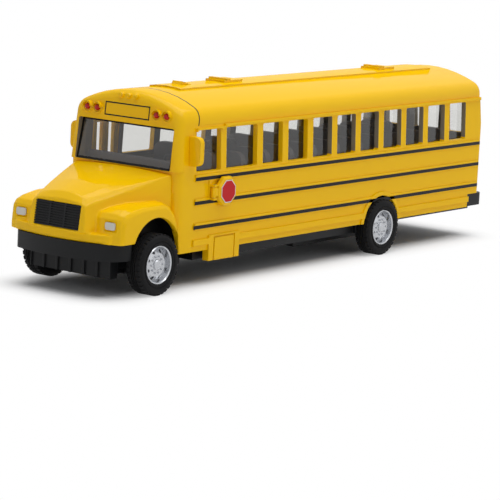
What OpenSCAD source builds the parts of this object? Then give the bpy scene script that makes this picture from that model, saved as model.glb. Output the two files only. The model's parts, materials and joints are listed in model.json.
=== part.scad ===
// Toy bus with a bonnet: die-cast body and roof, plastic chassis, pull-back motor, hinged stop arm and door.
// Frame: +X to the front, +Y to the driver's side, +Z up, origin on the ground under the middle of the bus.

/* [Overall] */
// Length over the bumpers
overall_l = 216; // [208:1:230]
// Width of the body across its sides
body_w = 45.5; // [45:0.5:48]
// Height of the roof's crown above the ground
roof_top = 61.8; // [60.4:0.2:66]
// Height of the body's lower edge above the ground
skirt_z = 11.8; // [11.4:0.1:12.2]
// Wall of the painted castings
wall = 1.8; // [1.5:0.1:2]

/* [Windows] */
// Height of the window sills
sill_z = 37.4; // [36:0.2:37.6]
// Length of the driver's window
driver_win_l = 12.7; // [11:0.1:13]
// Length of the second window
second_win_l = 16.5; // [14:0.1:17]
// Length of a window in the row
row_win_l = 10.9; // [9:0.1:11.5]
// Spacing of the row of windows
row_pitch = 14.14; // [13.5:0.02:14.6]
// Thickness of the glazing
glass_t = 1; // [0.8:0.1:1.2]

/* [Front] */
// Length from the front bumper's face to the cowl
hood_l = 32.4; // [31.4:0.2:34]
// Height of the bonnet's crown at the cowl
hood_rear_z = 37.8; // [37.6:0.1:38.6]
// Height of the front fenders
fender_top = 29.1; // [28.4:0.1:30]
// Reach of the front fenders past the body's sides
fender_flare = 0.35; // [0.15:0.05:0.85]
// Half width of the grille
grille_half = 9.1; // [8:0.1:9.2]

/* [Wheels] */
// Diameter of the tyres
tyre_d = 19.7; // [19.4:0.1:20]
// Width of the tyres
tyre_w = 6; // [5:0.1:6.4]
// Diameter of the hubs
rim_d = 12.5; // [11.5:0.1:13.5]
// Diameter of the axles
axle_d = 2.5; // [2:0.1:2.6]
// Reach of the hubs past the body's sides
hub_out = 1.75; // [1.45:0.05:2.45]
// Distance from the front bumper's face to the front axle
front_overhang = 22.5; // [22.2:0.1:22.8]
// Distance between the axles
wheelbase = 124.9; // [122:0.1:128]

/* [Stop arm and door] */
// Size of the stop plate across its flats
stop_size = 9.4; // [7:0.1:9.8]
// Thickness of the stop plate
stop_t = 1.1; // [0.9:0.1:1.3]
// Width of the doorway
door_w = 13.6; // [12.8:0.1:13.8]
// Thickness of a door leaf
leaf_t = 1.4; // [1.2:0.1:1.5]

/* [Motor] */
// Module of the motor's gears
gear_module = 0.5; // [0.46:0.01:0.5]
// Teeth on the axle gear and on the idler's pinion
pinion_teeth = 10; // [10:1:11]
// Teeth on the idler's wheel
idler_teeth = 24; // [22:1:24]
// Teeth on the spring barrel
barrel_teeth = 26; // [25:1:26]

/* [Hidden] */
$fn = 96;
crown_fn = 192;
round_angles = [0, 30, 60, 90];
paint = "gold";
trim_black = "dimgray";
lamp_red = "firebrick";
clear = "lightblue";

// Clearances: seats, running fits, panel gaps, hinge gaps, overrun of openings and thin slices
seat_gap = 0.05;
run_gap = 0.05;
panel_gap = 0.15;
hinge_gap = 0.15;
over = 1;
slice = 0.1;

// Main planes
front_x = overall_l / 2;
rear_x = -overall_l / 2;
half = body_w / 2;
fender_half = half + fender_flare;
hub_face_y = half + hub_out;
tumblehome = 0.68;
top_half = half - tumblehome;
cowl_x = front_x - hood_l;
bumper_depth = 3;
body_rear_x = rear_x + bumper_depth;
tyre_r = tyre_d / 2;
rim_r = rim_d / 2;
axle_z = tyre_r;
axle_r = axle_d / 2;
front_axle_x = front_x - front_overhang;
rear_axle_x = front_axle_x - wheelbase;

// Cross-section of the coach: straight sides, leaning window band, tight corners and a wide crown
cabin_h = roof_top - sill_z;
corner_share = 0.205;
corner_r = cabin_h * corner_share;
shoulder_share = 0.3566;
shoulder_drop = cabin_h * shoulder_share;
shoulder_z = roof_top - shoulder_drop;
crown_run = top_half - corner_r;
crown_r = (crown_run * crown_run + shoulder_drop * shoulder_drop - corner_r * corner_r)
  / (2 * (shoulder_drop - corner_r));
crown_angle = atan2(shoulder_z - roof_top + crown_r, crown_run);
arc_shares = [0, 0.2, 0.4, 0.6, 0.8, 1];
crown_shares_up = [0.2, 0.4, 0.6, 0.8, 1];
win_share = 0.549;
win_top = sill_z + cabin_h * win_share;
split_share = 0.6045;
split_z = sill_z + cabin_h * split_share;
function side_y(z) = half - tumblehome * max(0, z - sill_z) / (shoulder_z - sill_z);

// Front wall: upright behind the bonnet, leaning above it, and the roof seam behind the header
seam_setback = 9.5;
seam_x = cowl_x - seam_setback;
seam_tilt = 11;
seam_run = (roof_top + over - split_z) * tan(seam_tilt);
cap_rear_x = seam_x - seam_run;
screen_step = 0.9;
screen_foot_x = cowl_x + screen_step;
cap_gap = 0.1;
cap_z = hood_rear_z + cap_gap;
lean = 5.5;
front_wall = 4.1;
cavity_front_x = cowl_x - front_wall;
rear_wall = 4.1;
cavity_rear_x = body_rear_x + rear_wall;
edge_r = 2.8;
function face_x(z) = screen_foot_x - (z - cap_z) * tan(lean);

// Window row along the side
front_pillar = 8.8;
second_pillar = 2.9;
row_pillar = 3.15;
win_corner = 0.6;
driver_x = cowl_x - front_pillar;
second_x = driver_x - driver_win_l - second_pillar;
row_x = second_x - second_win_l - row_pillar;
rear_quarter = 9;
row_count = floor((row_x - body_rear_x - rear_quarter - row_win_l) / row_pitch) + 1;
row_end_x = row_x - (row_count - 1) * row_pitch - row_win_l;
glass_lap = 1.4;

// Rub rails and drip rails
rail_lift = 0.45;
rail_low = 0.85;
rail_high = 1.35;
rail_drops = [2.15, 9.85, 17.7];
rail_stagger = 0.3;
rail_setback = 8.2;
rail_front_x = cowl_x - rail_setback;
rail_rear_gap = 0.4;
rail_rear_x = body_rear_x + edge_r + rail_rear_gap;
skirt_rail_h = 2;
skirt_rail_rise = 1.9;
skirt_rail_lift = 0.6;
drip_lift = 0.8;
drip_h = 1.05;
driver_drip_drop = 0.75;

// Wheel arches and their liners
front_arch_gap = 1.8;
front_arch_rise = 3.1;
front_arch_r = tyre_r + front_arch_gap;
front_arch_z = axle_z + front_arch_rise;
rear_arch_gap = 0.8;
rear_arch_rise = 0.5;
rear_arch_r = tyre_r + rear_arch_gap;
rear_arch_z = axle_z + rear_arch_rise;
arch_lip = 1.5;
arch_lip_lift = 0.5;
liner_gap = 0.35;
liner_t = 0.8;
liner_y_gap = 7.45;
liner_y = half - liner_y_gap;
well_room = 0.25;
liner_outer_y = half - wall - well_room;

// Battery box on the left skirt
box_setback = 16.3;
box_x = cowl_x - box_setback;
box_l = 16.2;
box_low = skirt_z - 2 * wall;
box_panel_inset = 2.5;
box_panel_rise = 4.8;
box_groove = 0.5;
box_groove_depth = 0.4;

// Rear wall with its door, windows and lamps
rear_step_drop = 2.3;
rear_step_z = sill_z - rear_step_drop;
rear_step_h = 1.7;
rear_step = 1.1;
rear_lean = 1.7;
rear_door_half = 7.2;
rear_door_lift = 0.4;
rear_win_half = 5.4;
rear_post = 4.75;
rear_door_post = 9;
rear_side_win = [rear_door_post, half - rear_post];
rear_win_inset = 1;
rear_notch_l = 8.3;
rear_notch_top = 16.5;
tail_lamp_y_gap = 4.55;
tail_lamp_y = half - tail_lamp_y_gap;
tail_lamp_z = 24.7;
tail_lamp_r = 1.6;
tail_lamp_t = 0.9;
rear_lamp_gaps = [13.75, 9.75];
rear_lamp_ys = [for (g = rear_lamp_gaps) half - g];
rear_lamp_rise = 2.4;

// Header details
lamp_gaps = [10.55, 6.45];
lamp_ys = [for (g = lamp_gaps) half - g];
lamp_share = 0.7213;
lamp_z = sill_z + cabin_h * lamp_share;
lamp_r = 1.05;
lamp_t = 0.9;
lamp_floor = 0.1;
visor_r = 1.9;
visor_t = 0.45;
visor_l = 1.1;
bezel_l = 0.35;
bump_pitch = 3.1;
bump_drop = 1.9;
bump_r = 0.75;
bump_l = 0.6;
screen_half_gap = 3.15;
screen_half = half - screen_half_gap;
screen_lip = 0.1;
screen_foot_z = cap_z + screen_lip;
screen_top_rise = 0.6;
screen_top_z = win_top + screen_top_rise;
screen_set_foot = 0.6;
screen_set_head = 2;
screen_t = 1.2;

// Roof with its raised panel, front vent and hatches
roof_wall = 1.5;
roof_lip = 1;
roof_rear_x = body_rear_x + roof_lip;
roof_round = 3;
panel_half = 6.4;
panel_lift = 0.55;
panel_front_gap = 9.9;
panel_rear_gap = 13.4;
vent_half = 2;
vent_setback = 25;
vent_l = 6;
vent_nose_share = 0.15;
hatch_half = 3.9;
hatch_l = 10;
hatch_lift = 0.6;
hatch_setback = 45.8;
rear_hatch_gap = 43.6;
block_gap = 1.6;
block_l = 1.9;
block_lift = 1.7;

// Bonnet: stations from the cowl to the nose, as shares of its length, half width and rise
nose_gap = 0.5;
nose_x = front_x - nose_gap;
hood_len = nose_x - cowl_x;
hood_base_z = 20.2;
hood_rise = hood_rear_z - hood_base_z;
hood_rear_half_gap = 2.35;
hood_rear_half = half - hood_rear_half_gap;
station_shares = [0, 0.32, 0.64, 0.9, 0.965, 1];
crown_shares = [1, 0.92, 0.812, 0.665, 0.55, 0.06];
crease_y_shares = [0.966, 0.79, 0.616, 0.466, 0.45, 0.46];
crease_z_shares = [0.955, 0.84, 0.71, 0.585, 0.5, 0.04];
shoulder_y_shares = [0.985, 0.835, 0.68, 0.525, 0.52, 0.54];
shoulder_z_shares = [0.82, 0.76, 0.628, 0.53, 0.45, 0.03];
foot_y_shares = [1, 0.85, 0.715, 0.59, 0.585, 0.58];
crown_arc_shares = [0, 0.25, 0.5, 0.75, 1];
bonnet_wall = 1.6;
band_z = 17.3;
band_top = 20.3;
band_flare = 0.05;
band_half = half + band_flare;
band_l = 11.6;
nose_r = 60;
nose_corner_r = 11.5;
nose_post_share = 0.8;

// Fenders: outline as shares of their length and height, slices as shares of their width and size
fender_tail = 2.2;
fender_x = cowl_x - fender_tail;
fender_nose_gap = 4.4;
fender_nose_x = front_x - fender_nose_gap;
fender_len = fender_nose_x - fender_x;
fender_h = fender_top - skirt_z;
fender_shares = [[0, 0], [0.013, 0.47], [0.106, 0.8], [0.195, 0.95], [0.285, 0.994], [0.45, 1],
  [0.65, 0.988], [0.844, 0.93], [0.94, 0.867], [0.98, 0.775], [1, 0.474], [1, 0]];
fender_inner_y_gap = 10.75;
fender_inner_y = half - fender_inner_y_gap;
fender_slice_shares = [[0, 1], [0.76, 1], [0.93, 0.965], [1, 0.9]];

// Headlamps and grille
lamp_seat = 0.9;
headlamp_y_gap = 4.45;
headlamp_y = half - headlamp_y_gap;
headlamp_z = 23;
headlamp_w = 4;
headlamp_h = 2.4;
headlamp_r = 0.8;
headlamp_t = 0.5;
headlamp_margin = 0.5;
grille_h = 7.8;
grille_drop = 0.4;
grille_lean = 7.3;
grille_foot_z = hood_base_z + crown_shares[5] * hood_rise;
grille_depth = 0.9;
grille_plate = 0.4;
slat_count = 10;
slat_share = 0.5;
divider_w = 0.6;

// Chassis
pan_z = 8.3;
pan_t = 1.7;
pan_top = pan_z + pan_t;
pan_half_gap = 3.25;
pan_half = half - pan_half_gap;
pan_setback = 13;
pan_front_x = cowl_x - pan_setback;
pan_rear_gap = 12;
pan_wall = 0.9;
pan_wall_h = 2.8;
rear_pan_z = 10;
rear_pan_half_gap = 4.75;
rear_pan_half = half - rear_pan_half_gap;
rear_pan_gap = 10;
frame_half_gap = 9.25;
frame_half = half - frame_half_gap;
frame_z = 6.4;
dam_half_gap = 6.25;
dam_half = half - dam_half_gap;
dam_setback = 8.5;
dam_t = 3.1;
dam_x = front_x - dam_setback;
dam_z = 5.7;
dam_ribs = 6;
dam_rib_w = 0.9;
dam_rib_lift = 0.5;
keel_z = 4.6;
keel_setback = 30;
keel_l = 8.6;
keel_slope = 2.6;
keel_half = 10;
bearing_half_l = 4;
bearing_l = 4.8;
bearing_y = liner_y - bearing_l;
bearing_z = 6;
bearing_h = 7.5;
bridge_w = 3.3;
bridge_y = liner_y - bridge_w;
slot_gap = 0.4;
tongue_half_gap = 9.75;
tongue_half = half - tongue_half_gap;
tongue_z = [12, 14.4];
step_setback = 7;
step_l = 16.4;
step_gaps = [3.55, 10.75];
step_y = [step_gaps[0] - half, step_gaps[1] - half];
step_z = 6.2;

// Bumpers
bumper_z = 11.9;
bumper_t = 2.2;
front_bumper_half_gap = 1.05;
front_bumper_half = half - front_bumper_half_gap;
front_bumper_l = 11.7;
front_bumper_r = 12;
rear_bumper_half_gap = 0.35;
rear_bumper_half = half - rear_bumper_half_gap;
rear_bumper_r = 3;
notch_gap = 0.15;
rear_bumper_l = rear_notch_l + bumper_depth - notch_gap;
rear_bumper_top = rear_notch_top - notch_gap;

// Posts and screws
post_r = 3;
post_h = 21.8;
post_lap = 0.5;
screw_r = 1;
screw_head_r = 2;
screw_head_h = 1.1;
screw_room = 0.2;
screw_grip = 7;
cowl_post_x = cavity_front_x - post_r + post_lap;
rear_post_x = cavity_rear_x + post_r - post_lap;
nose_post_setback = 15.2;
nose_post_x = front_x - nose_post_setback;
screw_seat_z = 8.6;
rear_seat_z = 10.6;
motor_seat_z = 6;
motor_screw_y = 6;

// Interior
floor_z = 22.8;
floor_t = 1.2;
floor_top = floor_z + floor_t;
floor_half_gap = 3.35;
floor_half = half - floor_half_gap;
floor_gap = 0.3;
seat_pitch = 13.5;
seat_setback = 39.3;
seat_x = cowl_x - seat_setback;
tail_room = 12;
seat_rows = floor((seat_x - cavity_rear_x - tail_room) / seat_pitch) + 1;
aisle_half = 4.2;
bench_gap = 4.35;
bench_y = [aisle_half, half - bench_gap];
bench_rise = 3.6;
bench_top = sill_z + bench_rise;
seat_back_t = 2.4;
seat_corner = 3;
cushion_l = 8;
cushion_h = 6.5;
driver_setback = 23.5;
driver_aisle = 5;
driver_gap = 5.25;
driver_y = [driver_aisle, half - driver_gap];
driver_rise = 5;
driver_top = sill_z + driver_rise;
leg_r = 2;
leg_y_gap = 8.75;
leg_y = half - leg_y_gap;
leg_setback = 55;
rear_leg_gap = 28.5;
dash_rise = 3;
dash_top = sill_z + dash_rise;
dash_edge = sill_z;
dash_l = 6.8;
dash_foot_l = 5.8;
dash_ledge = 1.8;
dash_half_gap = 4.15;
dash_half = half - dash_half_gap;
ring_setback = 13.2;
ring_y_gap = 12.25;
ring_y = half - ring_y_gap;
ring_rise = 1.2;
ring_z = sill_z + ring_rise;
ring_r = 3.7;
ring_t = 0.45;
ring_tilt = 50;
column_l = 6;
column_r = 0.6;
spoke_w = 0.7;
spoke_count = 3;

// Stop arm
hinge_setback = 16.7;
hinge_x = cowl_x - hinge_setback;
knuckle_r = 0.85;
hinge_y = half + rail_lift + knuckle_r;
stop_drop = 6.85;
stop_z = sill_z - stop_drop;
stop_neck = 1.55;
stop_face_share = 0.8;
stop_face_lift = 0.6;
stop_x = hinge_x - stop_neck - stop_size / 2;
knuckle_h = 3.4;
pad_half = 1.3;
pad_lift = 0.3;
ear_gap = 0.1;
ear_t = 0.7;
ear_reach = knuckle_h / 2 + ear_gap + ear_t;
stop_pin_r = 0.45;
neck_h = 2.6;

// Door leaves on the right side
door_setback = 8.6;
door_front_x = cowl_x - door_setback;
door_rear_x = door_front_x - door_w;
door_mid_x = (door_front_x + door_rear_x) / 2;
door_sill = 1.6;
door_z = [skirt_z + door_sill, win_top];
leaf_knuckle_r = 0.8;
leaf_in = leaf_knuckle_r + hinge_gap;
leaf_inset = 0.57;
leaf_axis_y = -(top_half - leaf_inset);
leaf_half_w = door_w / 2 - leaf_in - hinge_gap / 2;
stub_r = 0.4;
stub_l = 0.8;
socket_gap = 0.1;
leaf_frame = 1.4;
pane_low = [3, 15.5];
pane_step = 18.6;
pane_head = 2.2;
pane_high = [pane_step, door_z[1] - door_z[0] - pane_head];
pane_t = 0.8;

// Mirrors
mirror_setback = 6;
mirror_x = cowl_x - mirror_setback;
mirror_t = 2.2;
mirror_shares = [0.1, 0.48];
mirror_z = [for (s = mirror_shares) sill_z + cabin_h * s];
mirror_out = 4.1;
mirror_in = 2;
mirror_r = 2;

// Pull-back motor
case_half = 10.4;
case_wall = 1;
case_z = [4.6, 21.2];
case_back = 7.2;
case_front = 26.9;
case_x = [rear_axle_x - case_back, rear_axle_x + case_front];
case_ear_l = 7.4;
case_room = 0.2;
idler_rise = 2.75;
barrel_rise = 0.3;
idler_reach = (pinion_teeth + idler_teeth) * gear_module / 2;
barrel_reach = (pinion_teeth + barrel_teeth) * gear_module / 2;
idler_x = rear_axle_x + sqrt(idler_reach * idler_reach - idler_rise * idler_rise);
idler_z = axle_z + idler_rise;
barrel_x = idler_x + sqrt(barrel_reach * barrel_reach - barrel_rise * barrel_rise);
barrel_z = idler_z + barrel_rise;
idler_angle = atan2(idler_rise, idler_x - rear_axle_x);
barrel_angle = atan2(barrel_rise, barrel_x - idler_x);
idler_shaft_r = 0.8;
barrel_shaft_r = 1;
wheel_layer = [-6, -3];
pinion_layer = [-3, 1.2];
barrel_layer = [-1.5, 1];
axle_gear_layer = [-6.2, -2.8];
drum_end = 7.4;
drum_r = 5.6;
drum_wall = 0.6;
drum_hub_r = 1.6;
spring_turns = 5;
spring_t = 0.25;
spring_gap = 0.1;
spring_margin = 0.4;
spring_step = 15;
pressure_angle = 25;
backlash = 0.07;
tip_share = 0.8;
root_share = 1.05;
flank_shares = [0, 0.35, 0.7, 1];

// Wheels: hub profile as shares of the hub's radius, with its depths
hub_depth = 5.4;
bore_end = 1.2;
cap_depth = 0.35;
cap_edge = 0.7;
lug_depth = 1;
dish_depth = 2;
disc_t = 1.2;
lip_depth = 0.3;
cap_share = 0.28;
cap_top_share = 0.22;
boss_share = 0.42;
disc_share = 0.6;
dish_share = 0.83;
lip_share = 0.9;
crest_share = 0.95;
hand_hole_count = 8;
hand_hole_r = 0.62;
hand_hole_share = 0.715;
lug_count = 10;
lug_ring_share = 0.43;
lug_r = 0.33;
lug_h = 0.45;
tyre_proud = 0.1;
shoulder_r = 1.4;
groove_w = 0.5;
groove_d = 0.45;
groove_shares = [0.3, 0.5, 0.7];

// Box between two corners given as ranges
module box(x, y, z) {
  translate([x[0], y[0], z[0]])
    cube([x[1] - x[0], y[1] - y[0], z[1] - z[0]]);
}

// Round bar along Y at a place in the side view
module rod(x, z, y, r) {
  translate([x, y[1], z])
    rotate([90, 0, 0])
      cylinder(r = r, h = y[1] - y[0]);
}

// Upright round bar
module post(x, y, z, r) {
  translate([x, y, z[0]])
    cylinder(r = r, h = z[1] - z[0]);
}

// Outline in the side view, given its reach along Y
module along_y(y) {
  translate([0, y[1], 0])
    rotate([90, 0, 0])
      linear_extrude(y[1] - y[0])
        children();
}

// Outline in the front view, given its reach along X
module along_x(x) {
  translate([x[0], 0, 0])
    rotate([90, 0, 90])
      linear_extrude(x[1] - x[0])
        children();
}

// The same piece on both sides
module sides() {
  children();
  mirror([0, 1, 0])
    children();
}

// Rectangle with round corners
module round_rect(x, y, r) {
  translate([x[0] + r, y[0]])
    square([x[1] - x[0] - 2 * r, y[1] - y[0]]);
  translate([x[0], y[0] + r])
    square([x[1] - x[0], y[1] - y[0] - 2 * r]);
  for (px = [x[0] + r, x[1] - r], py = [y[0] + r, y[1] - r])
    translate([px, py])
      circle(r);
}

// Rectangle with round upper corners
module arch_rect(x, y, r) {
  translate([x[0], y[0]])
    square([x[1] - x[0], y[1] - r - y[0]]);
  translate([x[0] + r, y[0]])
    square([x[1] - x[0] - 2 * r, y[1] - y[0]]);
  for (px = [x[0] + r, x[1] - r])
    translate([px, y[1] - r])
      circle(r);
}

// Right half of the coach's cross-section from the ground to the crown, drawn in by an inset
function section_half(inset) = concat(
  [[half - inset, 0], [half - inset, sill_z]],
  [for (s = arc_shares)
    [crown_run + (corner_r - inset) * cos(s * crown_angle),
      shoulder_z + (corner_r - inset) * sin(s * crown_angle)]],
  [for (s = crown_shares_up)
    [(crown_r - inset) * cos(crown_angle + s * (90 - crown_angle)),
      roof_top - crown_r + (crown_r - inset) * sin(crown_angle + s * (90 - crown_angle))]]);

// Cross-section of the coach, drawn in by an inset, between two heights
module section(inset, z) {
  right = section_half(inset);
  left = [for (k = [len(right) - 2 : -1 : 0]) [-right[k][0], right[k][1]]];
  intersection() {
    polygon(concat(right, left));
    translate([-body_w, z[0]])
      square([2 * body_w, z[1] - z[0]]);
  }
}

// Thin upright slice of the coach, leaning back with height
module coach_slice(x, inset, z, tilt) {
  multmatrix([[1, 0, -tan(tilt), z[0] * tan(tilt)], [0, 1, 0, 0], [0, 0, 1, 0], [0, 0, 0, 1]])
    along_x([x - slice, x])
      section(inset, z);
}

// Front end of the coach between two heights, with a rounded edge
module cap(rear, x, z, tilt) {
  hull() {
    coach_slice(rear + slice, 0, z, 0);
    for (a = round_angles)
      coach_slice(x - edge_r * (1 - sin(a)), edge_r * (1 - cos(a)), z, tilt);
  }
}

// Side view of the space behind the roof seam, moved back by a gap
module behind_seam(gap) {
  polygon([[rear_x - over, split_z], [seam_x - gap, split_z],
    [seam_x - gap - seam_run, roof_top + over], [rear_x - over, roof_top + over]]);
}

// Fender flare of the left side with its arch
module fender() {
  reach = fender_half - fender_inner_y;
  difference() {
    hull()
      for (s = fender_slice_shares)
        along_y([fender_inner_y + s[0] * reach - slice, fender_inner_y + s[0] * reach])
          polygon([for (p = fender_shares)
            [front_axle_x + (fender_x + p[0] * fender_len - front_axle_x) * s[1],
              skirt_z + p[1] * fender_h * s[1]]]);
    rod(front_axle_x, front_arch_z, [fender_inner_y - over, fender_half + over], front_arch_r);
  }
}

// Openings and room for the front wheels and their liners
module front_wells() {
  room_r = front_arch_r + liner_gap + liner_t + well_room;
  sides() {
    rod(front_axle_x, front_arch_z, [liner_y, fender_half + over], front_arch_r);
    rod(front_axle_x, front_arch_z, [liner_y - liner_t - well_room, liner_outer_y + well_room], room_r);
  }
}

// Place on the leaning front face at a height, with the face's normal along Z
module on_face(y, z) {
  translate([face_x(z), y, z])
    rotate([0, 90 - lean, 0])
      children();
}

// Coach body: walls, cowl, windscreen frame and header
module coach_shell() {
  intersection() {
    union() {
      along_x([body_rear_x, cap_rear_x + slice])
        section(0, [skirt_z, split_z]);
      along_x([body_rear_x, cowl_x - edge_r - slice])
        section(0, [skirt_z, cap_z]);
    }
    linear_extrude(roof_top)
      union() {
        translate([body_rear_x + edge_r, -half])
          square([overall_l, body_w]);
        translate([body_rear_x, edge_r - half])
          square([overall_l, body_w - 2 * edge_r]);
        for (s = [-1, 1])
          translate([body_rear_x + edge_r, s * (half - edge_r)])
            circle(edge_r);
      }
  }
  cap(cowl_x - edge_r - 2 * slice, cowl_x, [skirt_z, cap_z], 0);
  cap(cap_rear_x, screen_foot_x, [cap_z, roof_top], lean);
}

// Windows of one side
module side_windows() {
  round_rect([second_x - second_win_l, second_x], [sill_z, win_top], win_corner);
  for (i = [0 : row_count - 1]) {
    x = row_x - i * row_pitch;
    round_rect([x - row_win_l, x], [sill_z, win_top], win_corner);
  }
}

// Rub rails and drip rail of the left side, from a front end
module rails(x) {
  drip_y = side_y(split_z);
  for (i = [0 : len(rail_drops) - 1])
    box([rail_rear_x, x - i * rail_stagger], [half - wall / 2, half + rail_lift],
      [sill_z - rail_drops[i] - rail_low, sill_z - rail_drops[i] + rail_high]);
  box([body_rear_x + rear_notch_l, x], [half - wall / 2, half + skirt_rail_lift],
    [skirt_z + skirt_rail_rise, skirt_z + skirt_rail_rise + skirt_rail_h]);
  box([rail_rear_x, min(x, second_x + second_pillar / 2)],
    [drip_y - wall / 2, drip_y + drip_lift], [split_z - drip_h, split_z]);
}

// Drip rail over the driver's window
module driver_drip() {
  y = side_y(split_z);
  top = split_z - driver_drip_drop;
  box([second_x + second_pillar / 2, rail_front_x], [y - wall / 2, y + drip_lift], [top - drip_h, top]);
}

// Battery box on the left skirt, with the groove round its lid
module battery_box() {
  box([box_x - box_l, box_x], [half - wall, half + skirt_rail_lift],
    [box_low, skirt_z + box_panel_rise]);
}

module battery_groove() {
  lid_x = [box_x - box_l + box_panel_inset, box_x - box_panel_inset];
  top = skirt_z + box_panel_rise - box_groove;
  y = [half + skirt_rail_lift - box_groove_depth, half + over];
  box([lid_x[0], lid_x[0] + box_groove], y, [0, top]);
  box([lid_x[1] - box_groove, lid_x[1]], y, [0, top]);
  box(lid_x, y, [top - box_groove, top]);
}

// Round bezel with a visor over it, standing on the front face
module visor() {
  difference() {
    translate([0, 0, -wall / 2])
      union() {
        cylinder(r = visor_r, h = wall / 2 + bezel_l);
        intersection() {
          cylinder(r = visor_r, h = wall / 2 + visor_l);
          translate([-2 * visor_r, -2 * visor_r, 0])
            cube([2 * visor_r, 4 * visor_r, wall + visor_l]);
        }
      }
    translate([0, 0, lamp_floor])
      cylinder(r = visor_r - visor_t, h = wall);
  }
}

// Pad and brackets of the stop arm's hinge
module stop_ears() {
  box([hinge_x - pad_half, hinge_x + pad_half], [half - wall / 3, half + pad_lift],
    [sill_z - rail_drops[1], sill_z - rail_drops[0]]);
  for (z = [stop_z - ear_reach, stop_z + ear_reach - ear_t])
    box([hinge_x - knuckle_r, hinge_x + knuckle_r], [half - wall / 3, hinge_y + knuckle_r], [z, z + ear_t]);
}

// Windows of the rear wall
module rear_openings() {
  z = [sill_z + rear_win_inset, win_top - rear_win_inset];
  round_rect([-rear_win_half, rear_win_half], z, win_corner);
  for (s = [-1, 1])
    round_rect([min(s * rear_side_win[0], s * rear_side_win[1]),
      max(s * rear_side_win[0], s * rear_side_win[1])], z, win_corner);
}

// Hinge axis of a door leaf: 1 is the front leaf, -1 the rear one
function leaf_axis_x(s) = door_mid_x + s * (door_w / 2 - leaf_in);

module coach_body() {
  color(paint)
    difference() {
      union() {
        difference() {
          coach_shell();
          along_x([cavity_rear_x, cavity_front_x])
            section(wall, [0, roof_top]);
          along_y([-body_w, body_w])
            behind_seam(0);
          along_y([-body_w, body_w])
            polygon([[rear_x, rear_step_z], [body_rear_x, rear_step_z],
              [body_rear_x + rear_step, rear_step_z + rear_step_h],
              [body_rear_x + rear_step + rear_lean, split_z + over], [rear_x, split_z + over]]);
          box([rear_x, body_rear_x + rear_notch_l], [-body_w, body_w], [0, rear_notch_top]);
        }
        rails(rail_front_x);
        mirror([0, 1, 0])
          rails(door_rear_x - second_pillar / 2);
        driver_drip();
        battery_box();
        sides()
          rod(rear_axle_x, rear_arch_z, [half - wall, half + arch_lip_lift], rear_arch_r + arch_lip);
        sides()
          intersection() {
            fender();
            box([fender_x - over, cowl_x], [half - edge_r, fender_half + over], [skirt_z, fender_top]);
          }
        post(cowl_post_x, 0, [pan_top, post_h], post_r);
        post(rear_post_x, 0, [rear_pan_z + pan_t, post_h], post_r);
        box([body_rear_x - rear_door_lift, body_rear_x + wall], [-rear_door_half, rear_door_half],
          [rear_notch_top, rear_step_z]);
        for (s = [-1, 1], y = lamp_ys)
          on_face(s * y, lamp_z)
            visor();
        for (i = [-1, 0, 1])
          on_face(i * bump_pitch, roof_top - bump_drop)
            translate([0, 0, -wall / 2])
              cylinder(r = bump_r, h = wall / 2 + bump_l);
        stop_ears();
      }
      along_y([0, body_w]) {
        side_windows();
        round_rect([driver_x - driver_win_l, driver_x], [sill_z, win_top], win_corner);
      }
      along_y([-body_w, 0])
        side_windows();
      box([door_rear_x, door_front_x], [-body_w, -floor_half], door_z);
      along_x([cavity_front_x - over, front_x])
        round_rect([-screen_half, screen_half], [screen_foot_z, screen_top_z], win_corner);
      front_wells();
      sides()
        rod(rear_axle_x, rear_arch_z, [floor_half, half + over], rear_arch_r);
      sides()
        box([rear_axle_x - rear_arch_r - arch_lip, rear_axle_x + rear_arch_r + arch_lip],
          [floor_half, half + over], [-body_w, skirt_z]);
      along_x([rear_x, cavity_rear_x + over])
        rear_openings();
      battery_groove();
      post(cowl_post_x, 0, [0, pan_top + screw_grip], screw_r);
      post(rear_post_x, 0, [0, rear_pan_z + pan_t + screw_grip], screw_r);
      for (s = [-1, 1], z = [door_z[0] - stub_l - socket_gap, door_z[1] - over])
        post(leaf_axis_x(s), leaf_axis_y, [z, z + stub_l + socket_gap + over], stub_r + run_gap);
      post(hinge_x, hinge_y, [stop_z - ear_reach, stop_z + ear_reach], stop_pin_r);
    }
}

// Rounded rear end of the roof, drawn in by an inset
module roof_end(inset, reach) {
  hull()
    for (a = round_angles)
      coach_slice(roof_rear_x + inset + slice + roof_round * (1 - sin(a)) + (a == 0 ? reach : 0),
        inset + roof_round * (1 - cos(a)), [split_z - inset, roof_top], 0);
}

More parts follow.
